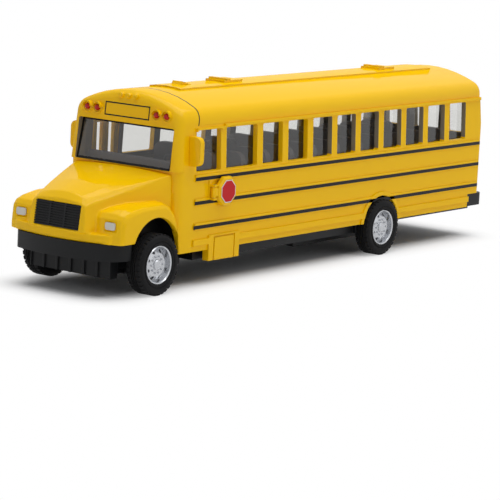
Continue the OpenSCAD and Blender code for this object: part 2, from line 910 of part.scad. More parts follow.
module roof_panel() {
  panel_x = [body_rear_x + panel_rear_gap, seam_x - panel_front_gap];
  color(paint) {
    difference() {
      union() {
        roof_end(0, 0);
        along_x([roof_rear_x + roof_round, seam_x])
          section(0, [split_z, roof_top]);
        along_x(panel_x)
          intersection() {
            section(-panel_lift, [shoulder_z, roof_top + over]);
            translate([-panel_half, shoulder_z])
              square([2 * panel_half, shoulder_drop + over]);
          }
        along_y([-vent_half, vent_half])
          polygon([[cowl_x - vent_setback, shoulder_z], [cowl_x - vent_setback, roof_top + panel_lift / 3],
            [cowl_x - vent_setback - vent_l * vent_nose_share, roof_top + block_lift],
            [cowl_x - vent_setback - vent_l, roof_top + panel_lift / 2],
            [cowl_x - vent_setback - vent_l, shoulder_z]]);
        for (x = [cowl_x - hatch_setback, body_rear_x + rear_hatch_gap]) {
          box([x - hatch_l, x], [-hatch_half, hatch_half], [shoulder_z, roof_top + panel_lift + hatch_lift]);
          box([x - block_gap - block_l, x - block_gap], [-hatch_half, hatch_half],
            [shoulder_z, roof_top + block_lift]);
        }
      }
      roof_end(roof_wall, 0);
      along_x([roof_rear_x + roof_wall + roof_round, seam_x + over])
        section(roof_wall, [split_z - over, roof_top]);
      along_y([-body_w, body_w])
        polygon([[front_x, split_z - over], [seam_x - panel_gap, split_z - over],
          [seam_x - panel_gap, split_z], [seam_x - panel_gap - seam_run, roof_top + over],
          [front_x, roof_top + over]]);
    }
  }
}

// Half of one bonnet station, from the crown to the foot, drawn in by an inset
function hood_half(i, inset) = concat(
  [for (s = crown_arc_shares)
    [s * (crease_y_shares[i] * hood_rear_half - inset),
      hood_base_z - inset + hood_rise * (crown_shares[i] - (crown_shares[i] - crease_z_shares[i]) * s * s)]],
  [[shoulder_y_shares[i] * hood_rear_half - inset, hood_base_z - inset + hood_rise * shoulder_z_shares[i]],
    [foot_y_shares[i] * hood_rear_half - inset, hood_base_z - 2 * inset]]);

module hood_form(inset, rear) {
  last = len(station_shares) - 1;
  hull()
    for (i = [0 : last]) {
      right = hood_half(i, inset);
      left = [for (k = [len(right) - 1 : -1 : 1]) [-right[k][0], right[k][1]]];
      x = cowl_x + station_shares[i] * (hood_len - inset) - (i == 0 ? rear : 0);
      along_x([x - (i == 0 ? 0 : slice), x + (i == 0 ? slice : 0)])
        polygon(concat(right, left));
    }
}

// Outline of the nose from above
module nose_plan(inset) {
  intersection() {
    translate([nose_x - nose_r, 0])
      circle(nose_r - inset, $fn = crown_fn);
    round_rect([cowl_x, nose_x - inset], [inset - band_half, band_half - inset], nose_corner_r - inset);
    translate([front_x - band_l + inset, -body_w])
      square([band_l, 2 * body_w]);
  }
}

// Place on the leaning nose, with the face's normal along X
module on_nose() {
  translate([nose_x, 0, grille_foot_z])
    rotate([0, -grille_lean, 0])
      children();
}

module hood() {
  post_top = hood_base_z + nose_post_share * hood_rise;
  color(paint)
    difference() {
      union() {
        difference() {
          union() {
            hood_form(0, 0);
            sides()
              intersection() {
                fender();
                box([cowl_x, front_x], [0, fender_half + over], [skirt_z, fender_top]);
              }
            translate([0, 0, band_z])
              linear_extrude(band_top - band_z)
                nose_plan(0);
          }
          hood_form(bonnet_wall, over);
          translate([0, 0, band_z - over])
            linear_extrude(band_top - band_z + over - bonnet_wall)
              nose_plan(bonnet_wall);
          box([front_x - front_bumper_l, front_x], [-body_w, body_w], [0, band_z]);
        }
        post(nose_post_x, 0, [pan_top, post_top], post_r);
      }
      front_wells();
      on_nose()
        box([-grille_depth, over], [-grille_half, grille_half], [-grille_drop, grille_h - grille_drop]);
      for (s = [-1, 1])
        box([fender_nose_x - lamp_seat, front_x],
          [s * headlamp_y - headlamp_w / 2 - headlamp_margin,
            s * headlamp_y + headlamp_w / 2 + headlamp_margin],
          [headlamp_z - headlamp_h / 2 - headlamp_margin, headlamp_z + headlamp_h / 2 + headlamp_margin]);
      post(nose_post_x, 0, [0, pan_top + screw_grip], screw_r);
    }
}

// Grille: a plate with slats and two dividers
module grille() {
  pitch = grille_h / slat_count;
  y = [seat_gap - grille_half, grille_half - seat_gap];
  color(trim_black)
    on_nose() {
      box([-grille_depth, grille_plate - grille_depth], y,
        [seat_gap - grille_drop, grille_h - grille_drop - seat_gap]);
      for (i = [0 : slat_count - 1])
        box([grille_plate / 2 - grille_depth, -seat_gap], y,
          [seat_gap - grille_drop + i * pitch, seat_gap - grille_drop + (i + slat_share) * pitch]);
      for (s = [-1, 1])
        box([grille_plate / 2 - grille_depth, -seat_gap],
          [s * grille_half / 3 - divider_w / 2, s * grille_half / 3 + divider_w / 2],
          [seat_gap - grille_drop, grille_h - grille_drop - seat_gap]);
    }
}

module headlamps() {
  x = fender_nose_x - lamp_seat;
  color("white")
    for (s = [-1, 1])
      along_x([x, x + headlamp_t])
        round_rect([s * headlamp_y - headlamp_w / 2, s * headlamp_y + headlamp_w / 2],
          [headlamp_z - headlamp_h / 2, headlamp_z + headlamp_h / 2], headlamp_r);
}

module header_lamps() {
  color(lamp_red)
    for (s = [-1, 1], y = lamp_ys)
      on_face(s * y, lamp_z)
        translate([0, 0, lamp_floor])
          cylinder(r = lamp_r, h = lamp_t);
}

// Lamp standing on a rear face
module rear_lamp(x, y, z, r) {
  translate([x - tail_lamp_t, y, z])
    rotate([0, 90, 0])
      cylinder(r = r, h = tail_lamp_t);
}

module tail_lamps() {
  color(lamp_red)
    for (s = [-1, 1]) {
      rear_lamp(body_rear_x, s * tail_lamp_y, tail_lamp_z, tail_lamp_r);
      for (y = rear_lamp_ys)
        rear_lamp(roof_rear_x, s * y, split_z + rear_lamp_rise, lamp_r);
    }
}

// Glazing
module windscreen() {
  foot = [face_x(screen_foot_z) - screen_set_foot, screen_foot_z + seat_gap];
  head = [face_x(screen_top_z) - screen_set_head, screen_top_z - seat_gap];
  color(clear)
    along_y([seat_gap - screen_half, screen_half - seat_gap])
      polygon([foot, head, [head[0] - screen_t, head[1]], [foot[0] - screen_t, foot[1]]]);
}

// Strip of side glazing of the left side, from a front end
module side_glass(x) {
  z = [sill_z - glass_lap, sill_z, split_z];
  outer = [for (h = z) [side_y(h) - wall - seat_gap, h]];
  inner = [for (k = [2 : -1 : 0]) [outer[k][0] - glass_t, outer[k][1]]];
  color(clear)
    along_x([row_end_x - glass_lap, x])
      polygon(concat(outer, inner));
}

module left_windows() {
  side_glass(driver_x + glass_lap);
}

module right_windows() {
  mirror([0, 1, 0])
    side_glass(second_x + glass_lap);
}

module rear_window() {
  color(clear)
    box([cavity_rear_x + seat_gap, cavity_rear_x + seat_gap + glass_t],
      [-rear_side_win[1] - glass_lap / 2, rear_side_win[1] + glass_lap / 2],
      [sill_z - glass_lap, win_top + glass_lap / 2]);
}

// Mirror of the left side, seated on the leaning pillar
module mirror_ear() {
  color(paint)
    along_x([mirror_x - mirror_t / 2, mirror_x + mirror_t / 2])
      difference() {
        round_rect([half - mirror_in, half + mirror_out], mirror_z, mirror_r);
        section(0, [0, roof_top]);
      }
}

module left_mirror() {
  mirror_ear();
}

module right_mirror() {
  mirror([0, 1, 0])
    mirror_ear();
}

// Seat facing forward, with its back's rear face at a place along X
module seat(x, y, top) {
  along_x([x, x + seat_back_t])
    arch_rect(y, [floor_z, top], seat_corner);
  box([x, x + seat_back_t + cushion_l], y, [floor_z, floor_top + cushion_h]);
}

module seat_tray() {
  color("dimgray") {
    box([cavity_rear_x + glass_t + floor_gap, cavity_front_x - floor_gap], [-floor_half, floor_half],
      [floor_z, floor_top]);
    for (i = [0 : seat_rows - 1])
      sides()
        seat(seat_x - i * seat_pitch - seat_back_t / 2, bench_y, bench_top);
    seat(cowl_x - driver_setback - seat_back_t, driver_y, driver_top);
    sides() {
      post(cowl_x - leg_setback, leg_y, [pan_top, floor_top], leg_r);
      post(cavity_rear_x + rear_leg_gap, leg_y, [rear_pan_z + pan_t, floor_top], leg_r);
    }
  }
}

// Steering column, tilted towards the driver, from the ring's middle to the dashboard
module on_column() {
  translate([cowl_x - ring_setback, ring_y, ring_z])
    rotate([0, -ring_tilt, 0])
      children();
}

module column() {
  on_column()
    translate([0, 0, -column_l])
      cylinder(r = column_r, h = column_l);
}

module dashboard() {
  x = cavity_front_x - floor_gap;
  color("dimgray")
    difference() {
      along_y([-dash_half, dash_half])
        polygon([[x, floor_top], [x, dash_top], [x - dash_ledge, dash_top], [x - dash_l, dash_edge],
          [x - dash_foot_l, floor_top]]);
      column();
    }
}

module steering_wheel() {
  color("dimgray") {
    on_column() {
      rotate_extrude()
        translate([ring_r, 0])
          circle(ring_t);
      for (i = [0 : spoke_count - 1])
        rotate([0, 0, i * 360 / spoke_count])
          translate([0, -spoke_w / 2, -ring_t])
            cube([ring_r, spoke_w, ring_t]);
    }
    column();
  }
}

// Outline of a bumper from above
module front_bumper_plan(inset) {
  intersection() {
    translate([front_x - nose_r, 0])
      circle(nose_r - inset, $fn = crown_fn);
    round_rect([cowl_x, front_x - inset], [inset - front_bumper_half, front_bumper_half - inset],
      front_bumper_r - inset);
    translate([front_x - front_bumper_l, -body_w])
      square([front_bumper_l, 2 * body_w]);
  }
}

module rear_bumper_plan(inset) {
  intersection() {
    round_rect([rear_x + inset, 0], [inset - rear_bumper_half, rear_bumper_half - inset],
      rear_bumper_r - inset);
    translate([rear_x, -body_w])
      square([rear_bumper_l, 2 * body_w]);
  }
}

module front_bumper() {
  color(trim_black)
    translate([0, 0, bumper_z])
      linear_extrude(band_z - bumper_z)
        difference() {
          front_bumper_plan(0);
          front_bumper_plan(bumper_t);
        }
}

module rear_bumper() {
  color(trim_black)
    translate([0, 0, bumper_z])
      linear_extrude(rear_bumper_top - bumper_z)
        difference() {
          rear_bumper_plan(0);
          rear_bumper_plan(bumper_t);
        }
}

// Wheel well liner of the left side
module liner(x, z, r, low) {
  difference() {
    rod(x, z, [liner_y - liner_t, liner_outer_y], r + liner_t);
    rod(x, z, [liner_y, liner_outer_y + over], r);
    box([x - 2 * r, x + 2 * r], [0, body_w], [-body_w, low]);
  }
}

// Tongue that carries a bumper, shaped to its inner face
module bumper_tongues() {
  translate([0, 0, tongue_z[0]])
    linear_extrude(tongue_z[1] - tongue_z[0]) {
      intersection() {
        front_bumper_plan(bumper_t);
        translate([dam_x - dam_t, -tongue_half])
          square([front_x, 2 * tongue_half]);
      }
      translate([dam_x - dam_t, -tongue_half])
        square([dam_t, 2 * tongue_half]);
      intersection() {
        rear_bumper_plan(bumper_t);
        translate([rear_x, -tongue_half])
          square([rear_bumper_l, 2 * tongue_half]);
      }
    }
}

module chassis() {
  rear_pan_x = [rear_x + bumper_depth, rear_axle_x - rear_pan_gap];
  keel_x = front_x - keel_setback;
  rib_pitch = 2 * dam_half / dam_ribs;
  color(trim_black)
    difference() {
      union() {
        difference() {
          union() {
            box([rear_axle_x - pan_rear_gap, pan_front_x], [-pan_half, pan_half], [pan_z, pan_top]);
            sides()
              box([rear_axle_x - pan_rear_gap, pan_front_x], [pan_half - pan_wall, pan_half],
                [pan_z, pan_top + pan_wall_h]);
            box(rear_pan_x, [-rear_pan_half, rear_pan_half], [rear_pan_z, rear_pan_z + pan_t]);
            box([rear_axle_x - pan_rear_gap, rear_axle_x - rear_pan_gap], [-liner_y, liner_y],
              [pan_z, rear_pan_z + pan_t]);
          }
          sides()
            box([rear_axle_x - rear_arch_r - liner_gap, rear_axle_x + rear_arch_r + liner_gap],
              [liner_y, body_w], [0, tongue_z[1]]);
        }
        box([pan_front_x - over, dam_x], [-frame_half, frame_half], [frame_z, pan_top]);
        box([dam_x - dam_t, dam_x], [-dam_half, dam_half], [dam_z, tongue_z[0]]);
        for (i = [0 : dam_ribs])
          box([dam_x - dam_t, dam_x + dam_rib_lift],
            [max(-dam_half, i * rib_pitch - dam_half - dam_rib_w / 2),
              min(dam_half, i * rib_pitch - dam_half + dam_rib_w / 2)], [dam_z, tongue_z[0]]);
        along_y([-keel_half, keel_half])
          polygon([[keel_x, frame_z + over], [keel_x, keel_z], [keel_x - keel_l, keel_z],
            [keel_x - keel_l - keel_slope, frame_z + over]]);
        sides()
          box([front_axle_x - bearing_half_l, front_axle_x + bearing_half_l], [bearing_y, liner_y],
            [bearing_z, bearing_z + bearing_h]);
        sides()
          difference() {
            liner(front_axle_x, front_arch_z, front_arch_r + liner_gap, pan_z);
            box([front_x - front_bumper_l - slot_gap, front_x], [0, body_w], [0, band_z]);
          }
        sides()
          liner(rear_axle_x, rear_arch_z, rear_arch_r + liner_gap, pan_z);
        sides()
          box([rear_axle_x - pan_rear_gap, rear_axle_x + pan_rear_gap], [bridge_y, liner_y],
            [pan_z, tongue_z[1]]);
        bumper_tongues();
        box([rear_x + bumper_depth, rear_x + rear_bumper_l], [-tongue_half, tongue_half],
          [rear_pan_z, tongue_z[1]]);
        box([cowl_x - step_setback - step_l, cowl_x - step_setback], step_y, [step_z, pan_top]);
      }
      box([case_x[0] - case_room, case_x[1] + case_room], [-case_half - case_room, case_half + case_room],
        [0, floor_z]);
      rod(rear_axle_x, axle_z, [-body_w, body_w], axle_r + slot_gap);
      box([rear_axle_x - axle_r - slot_gap, rear_axle_x + axle_r + slot_gap], [-liner_y, liner_y],
        [0, axle_z]);
      box([front_axle_x - axle_r - slot_gap, front_axle_x + axle_r + slot_gap], [-bearing_y, bearing_y],
        [axle_z - axle_r - slot_gap, floor_z]);
      rod(front_axle_x, axle_z, [-body_w, body_w], axle_r + run_gap);
      for (x = [cowl_post_x, nose_post_x]) {
        post(x, 0, [0, screw_seat_z], screw_head_r + screw_room);
        post(x, 0, [0, floor_z], screw_r + screw_room);
      }
      post(rear_post_x, 0, [0, rear_seat_z], screw_head_r + screw_room);
      post(rear_post_x, 0, [0, rear_pan_z + pan_t], screw_r + screw_room);
      post(rear_post_x, 0, [rear_pan_z + pan_t, floor_z], post_r + screw_room);
      for (s = [-1, 1])
        post(case_x[1] + case_ear_l / 2, s * motor_screw_y, [0, pan_top], screw_r);
    }
}

// Pan-head screw, from the seat of its head upwards
module screw(x, y, seat, top) {
  post(x, y, [seat - screw_head_h, seat], screw_head_r);
  post(x, y, [seat, top], screw_r);
}

module screws() {
  color("silver") {
    for (x = [cowl_post_x, nose_post_x])
      screw(x, 0, screw_seat_z, pan_top + screw_grip);
    screw(rear_post_x, 0, rear_seat_z, rear_pan_z + pan_t + screw_grip);
    for (s = [-1, 1])
      screw(case_x[1] + case_ear_l / 2, s * motor_screw_y, motor_seat_z, pan_top);
  }
}

// Half of the motor's case on the left side
module motor_case() {
  ear_x = case_x[1] + case_ear_l / 2;
  color("black")
    difference() {
      union() {
        box(case_x, [0, case_half], case_z);
        box([case_x[1] - case_wall, case_x[1] + case_ear_l], [0, case_half], [case_z[0], pan_z]);
      }
      box([case_x[0] + case_wall, case_x[1] - case_wall], [-over, case_half - case_wall],
        [case_z[0] + case_wall, case_z[1] - case_wall]);
      rod(rear_axle_x, axle_z, [-over, case_half + over], axle_r + run_gap);
      rod(idler_x, idler_z, [-over, case_half + over], idler_shaft_r);
      rod(barrel_x, barrel_z, [-over, case_half + over], barrel_shaft_r);
      post(ear_x, motor_screw_y, [0, motor_seat_z], screw_head_r + screw_room);
      post(ear_x, motor_screw_y, [0, pan_z + over], screw_r + screw_room);
    }
}

module motor_case_left() {
  motor_case();
}

module motor_case_right() {
  mirror([0, 1, 0])
    motor_case();
}

module motor_shafts() {
  color("silver") {
    rod(idler_x, idler_z, [-case_half, case_half], idler_shaft_r);
    rod(barrel_x, barrel_z, [-case_half, case_half], barrel_shaft_r);
  }
}

// Involute gear teeth: polar angle of the involute at a radius, and half a tooth's angle there
function roll(base, r) = sqrt(max(0, r * r / (base * base) - 1)) * 180 / PI;
function involute(base, r) = roll(base, r) - atan(roll(base, r) * PI / 180);
function half_tooth(n, pitch_r, base, r) =
  90 / n - backlash / 2 / pitch_r * 180 / PI + involute(base, pitch_r) - involute(base, max(r, base));
function gear_points(n) = let(pitch_r = n * gear_module / 2, base = pitch_r * cos(pressure_angle),
    root = pitch_r - root_share * gear_module, tip = pitch_r + tip_share * gear_module,
    low = max(base, root), rs = concat([root], [for (s = flank_shares) low + s * (tip - low)]),
    flank = [for (r = rs) [r, half_tooth(n, pitch_r, base, r)]])
  [for (i = [0 : n - 1], k = [0 : 2 * len(flank) - 1])
    let(up = k < len(flank), p = up ? flank[k] : flank[2 * len(flank) - 1 - k],
      a = i * 360 / n + (up ? -p[1] : p[1]))
    [p[0] * cos(a), p[0] * sin(a)]];

module gear(n, x, z, layer, angle) {
  translate([x, 0, z])
    along_y(layer)
      rotate(angle)
        polygon(gear_points(n));
}

module axle_gear() {
  color("ivory")
    difference() {
      gear(pinion_teeth, rear_axle_x, axle_z, axle_gear_layer, idler_angle);
      rod(rear_axle_x, axle_z, [-case_half, case_half], axle_r);
    }
}

module idler_gear() {
  color("ivory")
    difference() {
      union() {
        gear(idler_teeth, idler_x, idler_z, wheel_layer, idler_angle + 180 + 180 / idler_teeth);
        gear(pinion_teeth, idler_x, idler_z, pinion_layer, barrel_angle);
      }
      rod(idler_x, idler_z, [-case_half, case_half], idler_shaft_r + run_gap);
    }
}

module spring_barrel() {
  color("ivory")
    difference() {
      union() {
        gear(barrel_teeth, barrel_x, barrel_z, barrel_layer, barrel_angle + 180 + 180 / barrel_teeth);
        difference() {
          rod(barrel_x, barrel_z, [barrel_layer[1], drum_end], drum_r);
          rod(barrel_x, barrel_z, [barrel_layer[1], drum_end + over], drum_r - drum_wall);
        }
        rod(barrel_x, barrel_z, [barrel_layer[0], drum_end], drum_hub_r);
      }
      rod(barrel_x, barrel_z, [-case_half, case_half], barrel_shaft_r + run_gap);
    }
}

// Mainspring: a flat strip wound from the drum's hub to its wall
module mainspring() {
  inner_r = drum_hub_r + spring_gap;
  outer_r = drum_r - drum_wall - spring_gap - spring_t;
  grow = (outer_r - inner_r) / (360 * spring_turns);
  angles = [0 : spring_step : 360 * spring_turns];
  near = [for (a = angles) (inner_r + a * grow) * [cos(a), sin(a)]];
  far = [for (a = angles) (inner_r + a * grow + spring_t) * [cos(a), sin(a)]];
  color("silver")
    translate([barrel_x, 0, barrel_z])
      along_y([barrel_layer[1] + spring_margin, drum_end - spring_margin])
        polygon(concat(near, [for (k = [len(far) - 1 : -1 : 0]) far[k]]));
}

// Axles, hubs and tyres
module axle(x) {
  reach = hub_face_y - bore_end;
  color("silver")
    rod(x, axle_z, [-reach, reach], axle_r);
}

module front_axle() {
  axle(front_axle_x);
}

module rear_axle() {
  axle(rear_axle_x);
}

// Left-hand wheel place, with depth from the hub's outer face along Z
module at_wheel(x) {
  translate([x, hub_face_y, axle_z])
    rotate([90, 0, 0])
      children();
}

module hub(x) {
  back = dish_depth + disc_t;
  color("whitesmoke")
    at_wheel(x)
      difference() {
        union() {
          rotate_extrude()
            polygon([[0, cap_depth], [cap_top_share * rim_r, cap_depth], [cap_share * rim_r, cap_edge],
              [cap_share * rim_r, lug_depth], [disc_share * rim_r, lug_depth],
              [dish_share * rim_r, dish_depth], [lip_share * rim_r, lip_depth], [crest_share * rim_r, 0],
              [rim_r, lip_depth], [rim_r, hub_depth], [lip_share * rim_r, hub_depth],
              [dish_share * rim_r, back], [boss_share * rim_r, back],
              [boss_share * rim_r, hub_depth], [axle_r, hub_depth], [axle_r, bore_end], [0, bore_end]]);
          for (i = [0 : lug_count - 1])
            rotate([0, 0, i * 360 / lug_count])
              translate([lug_ring_share * rim_r, 0, lug_depth - lug_h])
                cylinder(r = lug_r, h = 2 * lug_h);
        }
        for (i = [0 : hand_hole_count - 1])
          rotate([0, 0, (i + 1 / 2) * 360 / hand_hole_count])
            translate([hand_hole_share * rim_r, 0, 0])
              cylinder(r = hand_hole_r, h = hub_depth);
      }
}

module tyre(x) {
  low = -tyre_proud;
  high = tyre_w - tyre_proud;
  color("black")
    at_wheel(x)
      rotate_extrude()
        difference() {
          union() {
            translate([rim_r, low])
              square([tyre_r - shoulder_r - rim_r, tyre_w]);
            translate([rim_r, low + shoulder_r])
              square([tyre_r - rim_r, tyre_w - 2 * shoulder_r]);
            for (y = [low + shoulder_r, high - shoulder_r])
              translate([tyre_r - shoulder_r, y])
                circle(shoulder_r);
          }
          for (s = groove_shares)
            translate([tyre_r - groove_d, low + s * tyre_w - groove_w / 2])
              square([groove_d + over, groove_w]);
        }
}

module front_left_hub() {
  hub(front_axle_x);
}

module rear_left_hub() {
  hub(rear_axle_x);
}

module front_right_hub() {
  mirror([0, 1, 0])
    hub(front_axle_x);
}

module rear_right_hub() {
  mirror([0, 1, 0])
    hub(rear_axle_x);
}

module front_left_tyre() {
  tyre(front_axle_x);
}

module rear_left_tyre() {
  tyre(rear_axle_x);
}

module front_right_tyre() {
  mirror([0, 1, 0])
    tyre(front_axle_x);
}

module rear_right_tyre() {
  mirror([0, 1, 0])
    tyre(rear_axle_x);
}

// Octagon at the stop plate's middle, given its size across the flats
module octagon(size) {
  translate([stop_x, stop_z])
    rotate(180 / 8)
      circle(r = size / 2 / cos(180 / 8), $fn = 8);
}

// Stop arm: octagonal plate with a raised face, on a hinge knuckle
module stop_arm() {
  y = [hinge_y - stop_t / 2, hinge_y + stop_t / 2];
  color(paint)
    difference() {
      union() {
        along_y(y)
          octagon(stop_size);
        along_y([hinge_y, y[1] + stop_face_lift])
          octagon(stop_size * stop_face_share);
        box([stop_x, hinge_x], y, [stop_z - neck_h / 2, stop_z + neck_h / 2]);
        post(hinge_x, hinge_y, [stop_z - knuckle_h / 2, stop_z + knuckle_h / 2], knuckle_r);
      }
      post(hinge_x, hinge_y, [0, roof_top], stop_pin_r + run_gap);
    }
}

module stop_arm_pin() {
  color("silver")
    post(hinge_x, hinge_y, [stop_z - ear_reach, stop_z + ear_reach], stop_pin_r);
}

// Panes of a door leaf, as boxes between the leaf's frame
module leaf_panes(s, y) {
  near = leaf_axis_x(s) - s * leaf_frame;
  far = leaf_axis_x(s) - s * (leaf_half_w - leaf_frame);
  for (z = [pane_low, pane_high])
    box([min(near, far), max(near, far)], y, [door_z[0] + z[0], door_z[0] + z[1]]);
}

// Door leaf: 1 is the front leaf, -1 the rear one
module leaf(s) {
  x = leaf_axis_x(s);
  free = x - s * leaf_half_w;
  z = [door_z[0] + hinge_gap, door_z[1] - hinge_gap];
  color(paint)
    difference() {
      union() {
        box([min(x, free), max(x, free)], [leaf_axis_y - leaf_t / 2, leaf_axis_y + leaf_t / 2], z);
        post(x, leaf_axis_y, z, leaf_knuckle_r);
        post(x, leaf_axis_y, [door_z[0] - stub_l, door_z[1] + stub_l], stub_r);
      }
      leaf_panes(s, [leaf_axis_y - over, leaf_axis_y + over]);
    }
}

module leaf_glass(s) {
  color(clear)
    leaf_panes(s, [leaf_axis_y - pane_t / 2, leaf_axis_y + pane_t / 2]);
}

module front_door_leaf() {
  leaf(1);
}

module rear_door_leaf() {
  leaf(-1);
}

module front_door_glass() {
  leaf_glass(1);
}

module rear_door_glass() {
  leaf_glass(-1);
}

coach_body();
roof_panel();
hood();
grille();
headlamps();
header_lamps();
tail_lamps();
windscreen();
left_windows();
right_windows();
rear_window();
left_mirror();
right_mirror();
seat_tray();
dashboard();
steering_wheel();
chassis();
front_bumper();
rear_bumper();
screws();
motor_case_left();
motor_case_right();
motor_shafts();
spring_barrel();
mainspring();
idler_gear();
axle_gear();
front_axle();
rear_axle();
front_left_hub();
front_right_hub();
rear_left_hub();
rear_right_hub();
front_left_tyre();
front_right_tyre();
rear_left_tyre();
rear_right_tyre();
stop_arm();
stop_arm_pin();
front_door_leaf();
rear_door_leaf();
front_door_glass();
rear_door_glass();
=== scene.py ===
import json
import math

import bmesh
import bpy
from mathutils import Matrix, Vector


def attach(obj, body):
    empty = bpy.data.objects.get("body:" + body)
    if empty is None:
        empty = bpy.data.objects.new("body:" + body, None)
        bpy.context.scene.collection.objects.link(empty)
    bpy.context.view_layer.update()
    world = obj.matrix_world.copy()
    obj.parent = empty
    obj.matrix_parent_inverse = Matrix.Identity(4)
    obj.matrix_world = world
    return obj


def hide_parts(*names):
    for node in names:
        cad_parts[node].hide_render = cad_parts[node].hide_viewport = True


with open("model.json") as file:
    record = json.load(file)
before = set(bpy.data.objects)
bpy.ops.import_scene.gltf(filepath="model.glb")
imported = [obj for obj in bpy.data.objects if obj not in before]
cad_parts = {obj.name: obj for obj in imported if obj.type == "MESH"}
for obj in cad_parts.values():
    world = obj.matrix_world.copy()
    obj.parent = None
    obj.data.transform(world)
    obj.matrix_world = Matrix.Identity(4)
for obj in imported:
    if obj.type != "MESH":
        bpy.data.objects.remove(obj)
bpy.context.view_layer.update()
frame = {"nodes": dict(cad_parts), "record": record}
nodes = frame["nodes"]
scene = bpy.context.scene
MM = 0.001


# Colours and node trees
def rgb(hex_code):
    """Hex sRGB to linear colour with alpha."""
    out = []
    for i in (0, 2, 4):
        c = int(hex_code[i : i + 2], 16) / 255
        out.append(c / 12.92 if c <= 0.04045 else ((c + 0.055) / 1.055) ** 2.4)
    return (*out, 1.0)


def add(tree, kind, inputs=None, **settings):
    """Adds one node with its settings, and sets or links its inputs by name or index."""
    node = tree.nodes.new(kind)
    for key, value in settings.items():
        setattr(node, key, value)
    for key, value in (inputs or {}).items():
        if isinstance(value, bpy.types.NodeSocket):
            tree.links.new(value, node.inputs[key])
        else:
            node.inputs[key].default_value = value
    return node


def blank_material(name):
    """A material with an empty node tree."""
    material = bpy.data.materials.new(name)
    material.use_nodes = True
    material.node_tree.nodes.clear()
    return material, material.node_tree


# Sizes of the patterns: handling marks in the gloss, clouding of a colour, waves in clear mouldings
PATCH, PATCH_DETAIL = 4.2 * MM, 4.0
CLOUD, CLOUD_DETAIL = 11 * MM, 3.0
RIPPLE, RIPPLE_DETAIL = 6 * MM, 1.0
GRAIN_DETAIL = 2.0
EDGE_SAMPLES = 8
COAT_ROUGH = 0.06
PLAIN_SHINE = 0.5
# Colour sockets of a Mix node
MIX_A, MIX_B, MIX_RESULT = 6, 7, 2
WHITE = "FFFFFF"


def surface(
    name, colour, rough, rough_var, grain, edge, ior=None, metal=0.0, coat=0.0, shine=PLAIN_SHINE, shade=None
):
    """A solid finish: uneven gloss, grain as (size, strength, height) and edges rounded by a radius."""
    material, tree = blank_material(name)
    place = add(tree, "ShaderNodeTexCoord").outputs["Object"]
    patch = add(tree, "ShaderNodeTexNoise", {"Vector": place, "Scale": 1 / PATCH, "Detail": PATCH_DETAIL})
    gloss = add(
        tree,
        "ShaderNodeMapRange",
        {"Value": patch.outputs[0], "To Min": rough - rough_var, "To Max": rough + rough_var},
    )
    size, strength, height = grain
    rounded = add(tree, "ShaderNodeBevel", {"Radius": edge}, samples=EDGE_SAMPLES)
    relief = add(tree, "ShaderNodeTexNoise", {"Vector": place, "Scale": 1 / size, "Detail": GRAIN_DETAIL})
    skin = add(
        tree,
        "ShaderNodeBump",
        {
            "Height": relief.outputs[0],
            "Strength": strength,
            "Distance": height,
            "Normal": rounded.outputs[0],
        },
    )
    finish = {
        "Base Color": rgb(colour),
        "Roughness": gloss.outputs[0],
        "Metallic": metal,
        "Coat Weight": coat,
        "Coat Roughness": COAT_ROUGH,
        "Specular IOR Level": shine,
        "Normal": skin.outputs[0],
    }
    if ior:
        finish["IOR"] = ior
    if shade:
        cloud = add(tree, "ShaderNodeTexNoise", {"Vector": place, "Scale": 1 / CLOUD, "Detail": CLOUD_DETAIL})
        tone = add(
            tree,
            "ShaderNodeMix",
            {"Factor": cloud.outputs[0], MIX_A: rgb(colour), MIX_B: rgb(shade)},
            data_type="RGBA",
        )
        finish["Base Color"] = tone.outputs[MIX_RESULT]
    shader = add(tree, "ShaderNodeBsdfPrincipled", finish)
    add(tree, "ShaderNodeOutputMaterial", {"Surface": shader.outputs[0]})
    return material


def glazing(name, tint, rough, ior, wave, wave_height):
    """A thin clear moulding: seen through, with a faintly wavy skin that mirrors more at a glance."""
    material, tree = blank_material(name)
    place = add(tree, "ShaderNodeTexCoord").outputs["Object"]
    flow = add(tree, "ShaderNodeTexNoise", {"Vector": place, "Scale": 1 / RIPPLE, "Detail": RIPPLE_DETAIL})
    waves = {"Height": flow.outputs[0], "Strength": wave, "Distance": wave_height}
    wavy = add(tree, "ShaderNodeBump", waves).outputs[0]
    through = add(tree, "ShaderNodeBsdfTransparent", {"Color": rgb(tint)}).outputs[0]
    mirror = {"Color": rgb(WHITE), "Roughness": rough, "Normal": wavy}
    skin = add(tree, "ShaderNodeBsdfAnisotropic", mirror).outputs[0]
    glance = add(tree, "ShaderNodeFresnel", {"IOR": ior, "Normal": wavy}).outputs[0]
    inside = add(tree, "ShaderNodeNewGeometry").outputs["Backfacing"]
    outside = add(tree, "ShaderNodeMath", {0: 1.0, 1: inside}, operation="SUBTRACT").outputs[0]
    share = add(tree, "ShaderNodeMath", {0: glance, 1: outside}, operation="MULTIPLY").outputs[0]
    mixed = add(tree, "ShaderNodeMixShader", {0: share, 1: through, 2: skin}).outputs[0]
    add(tree, "ShaderNodeOutputMaterial", {"Surface": mixed})
    return material


# Stoved enamel sprayed on the zinc castings: a deep wet gloss, softened edges and a faint orange peel
ENAMEL = surface(
    "stoved_yellow_enamel",
    "F8C406",
    rough=0.2,
    rough_var=0.04,
    grain=(1.6 * MM, 0.05, 0.05 * MM),
    edge=0.5 * MM,
    ior=1.5,
    coat=0.28,
    shine=0.0,
)
# Thin overspray on the bare zinc inside the castings: dull, with a warm cast, and darkened as painted shade
# for the cabin's inside
OVERSPRAY_AND_PAINTED_SHADE = surface(
    "overspray_and_painted_shade",
    "8A8272",
    rough=0.6,
    rough_var=0.1,
    grain=(0.5 * MM, 0.15, 0.03 * MM),
    edge=0.3 * MM,
    ior=1.5,
    shade="766F61",
)
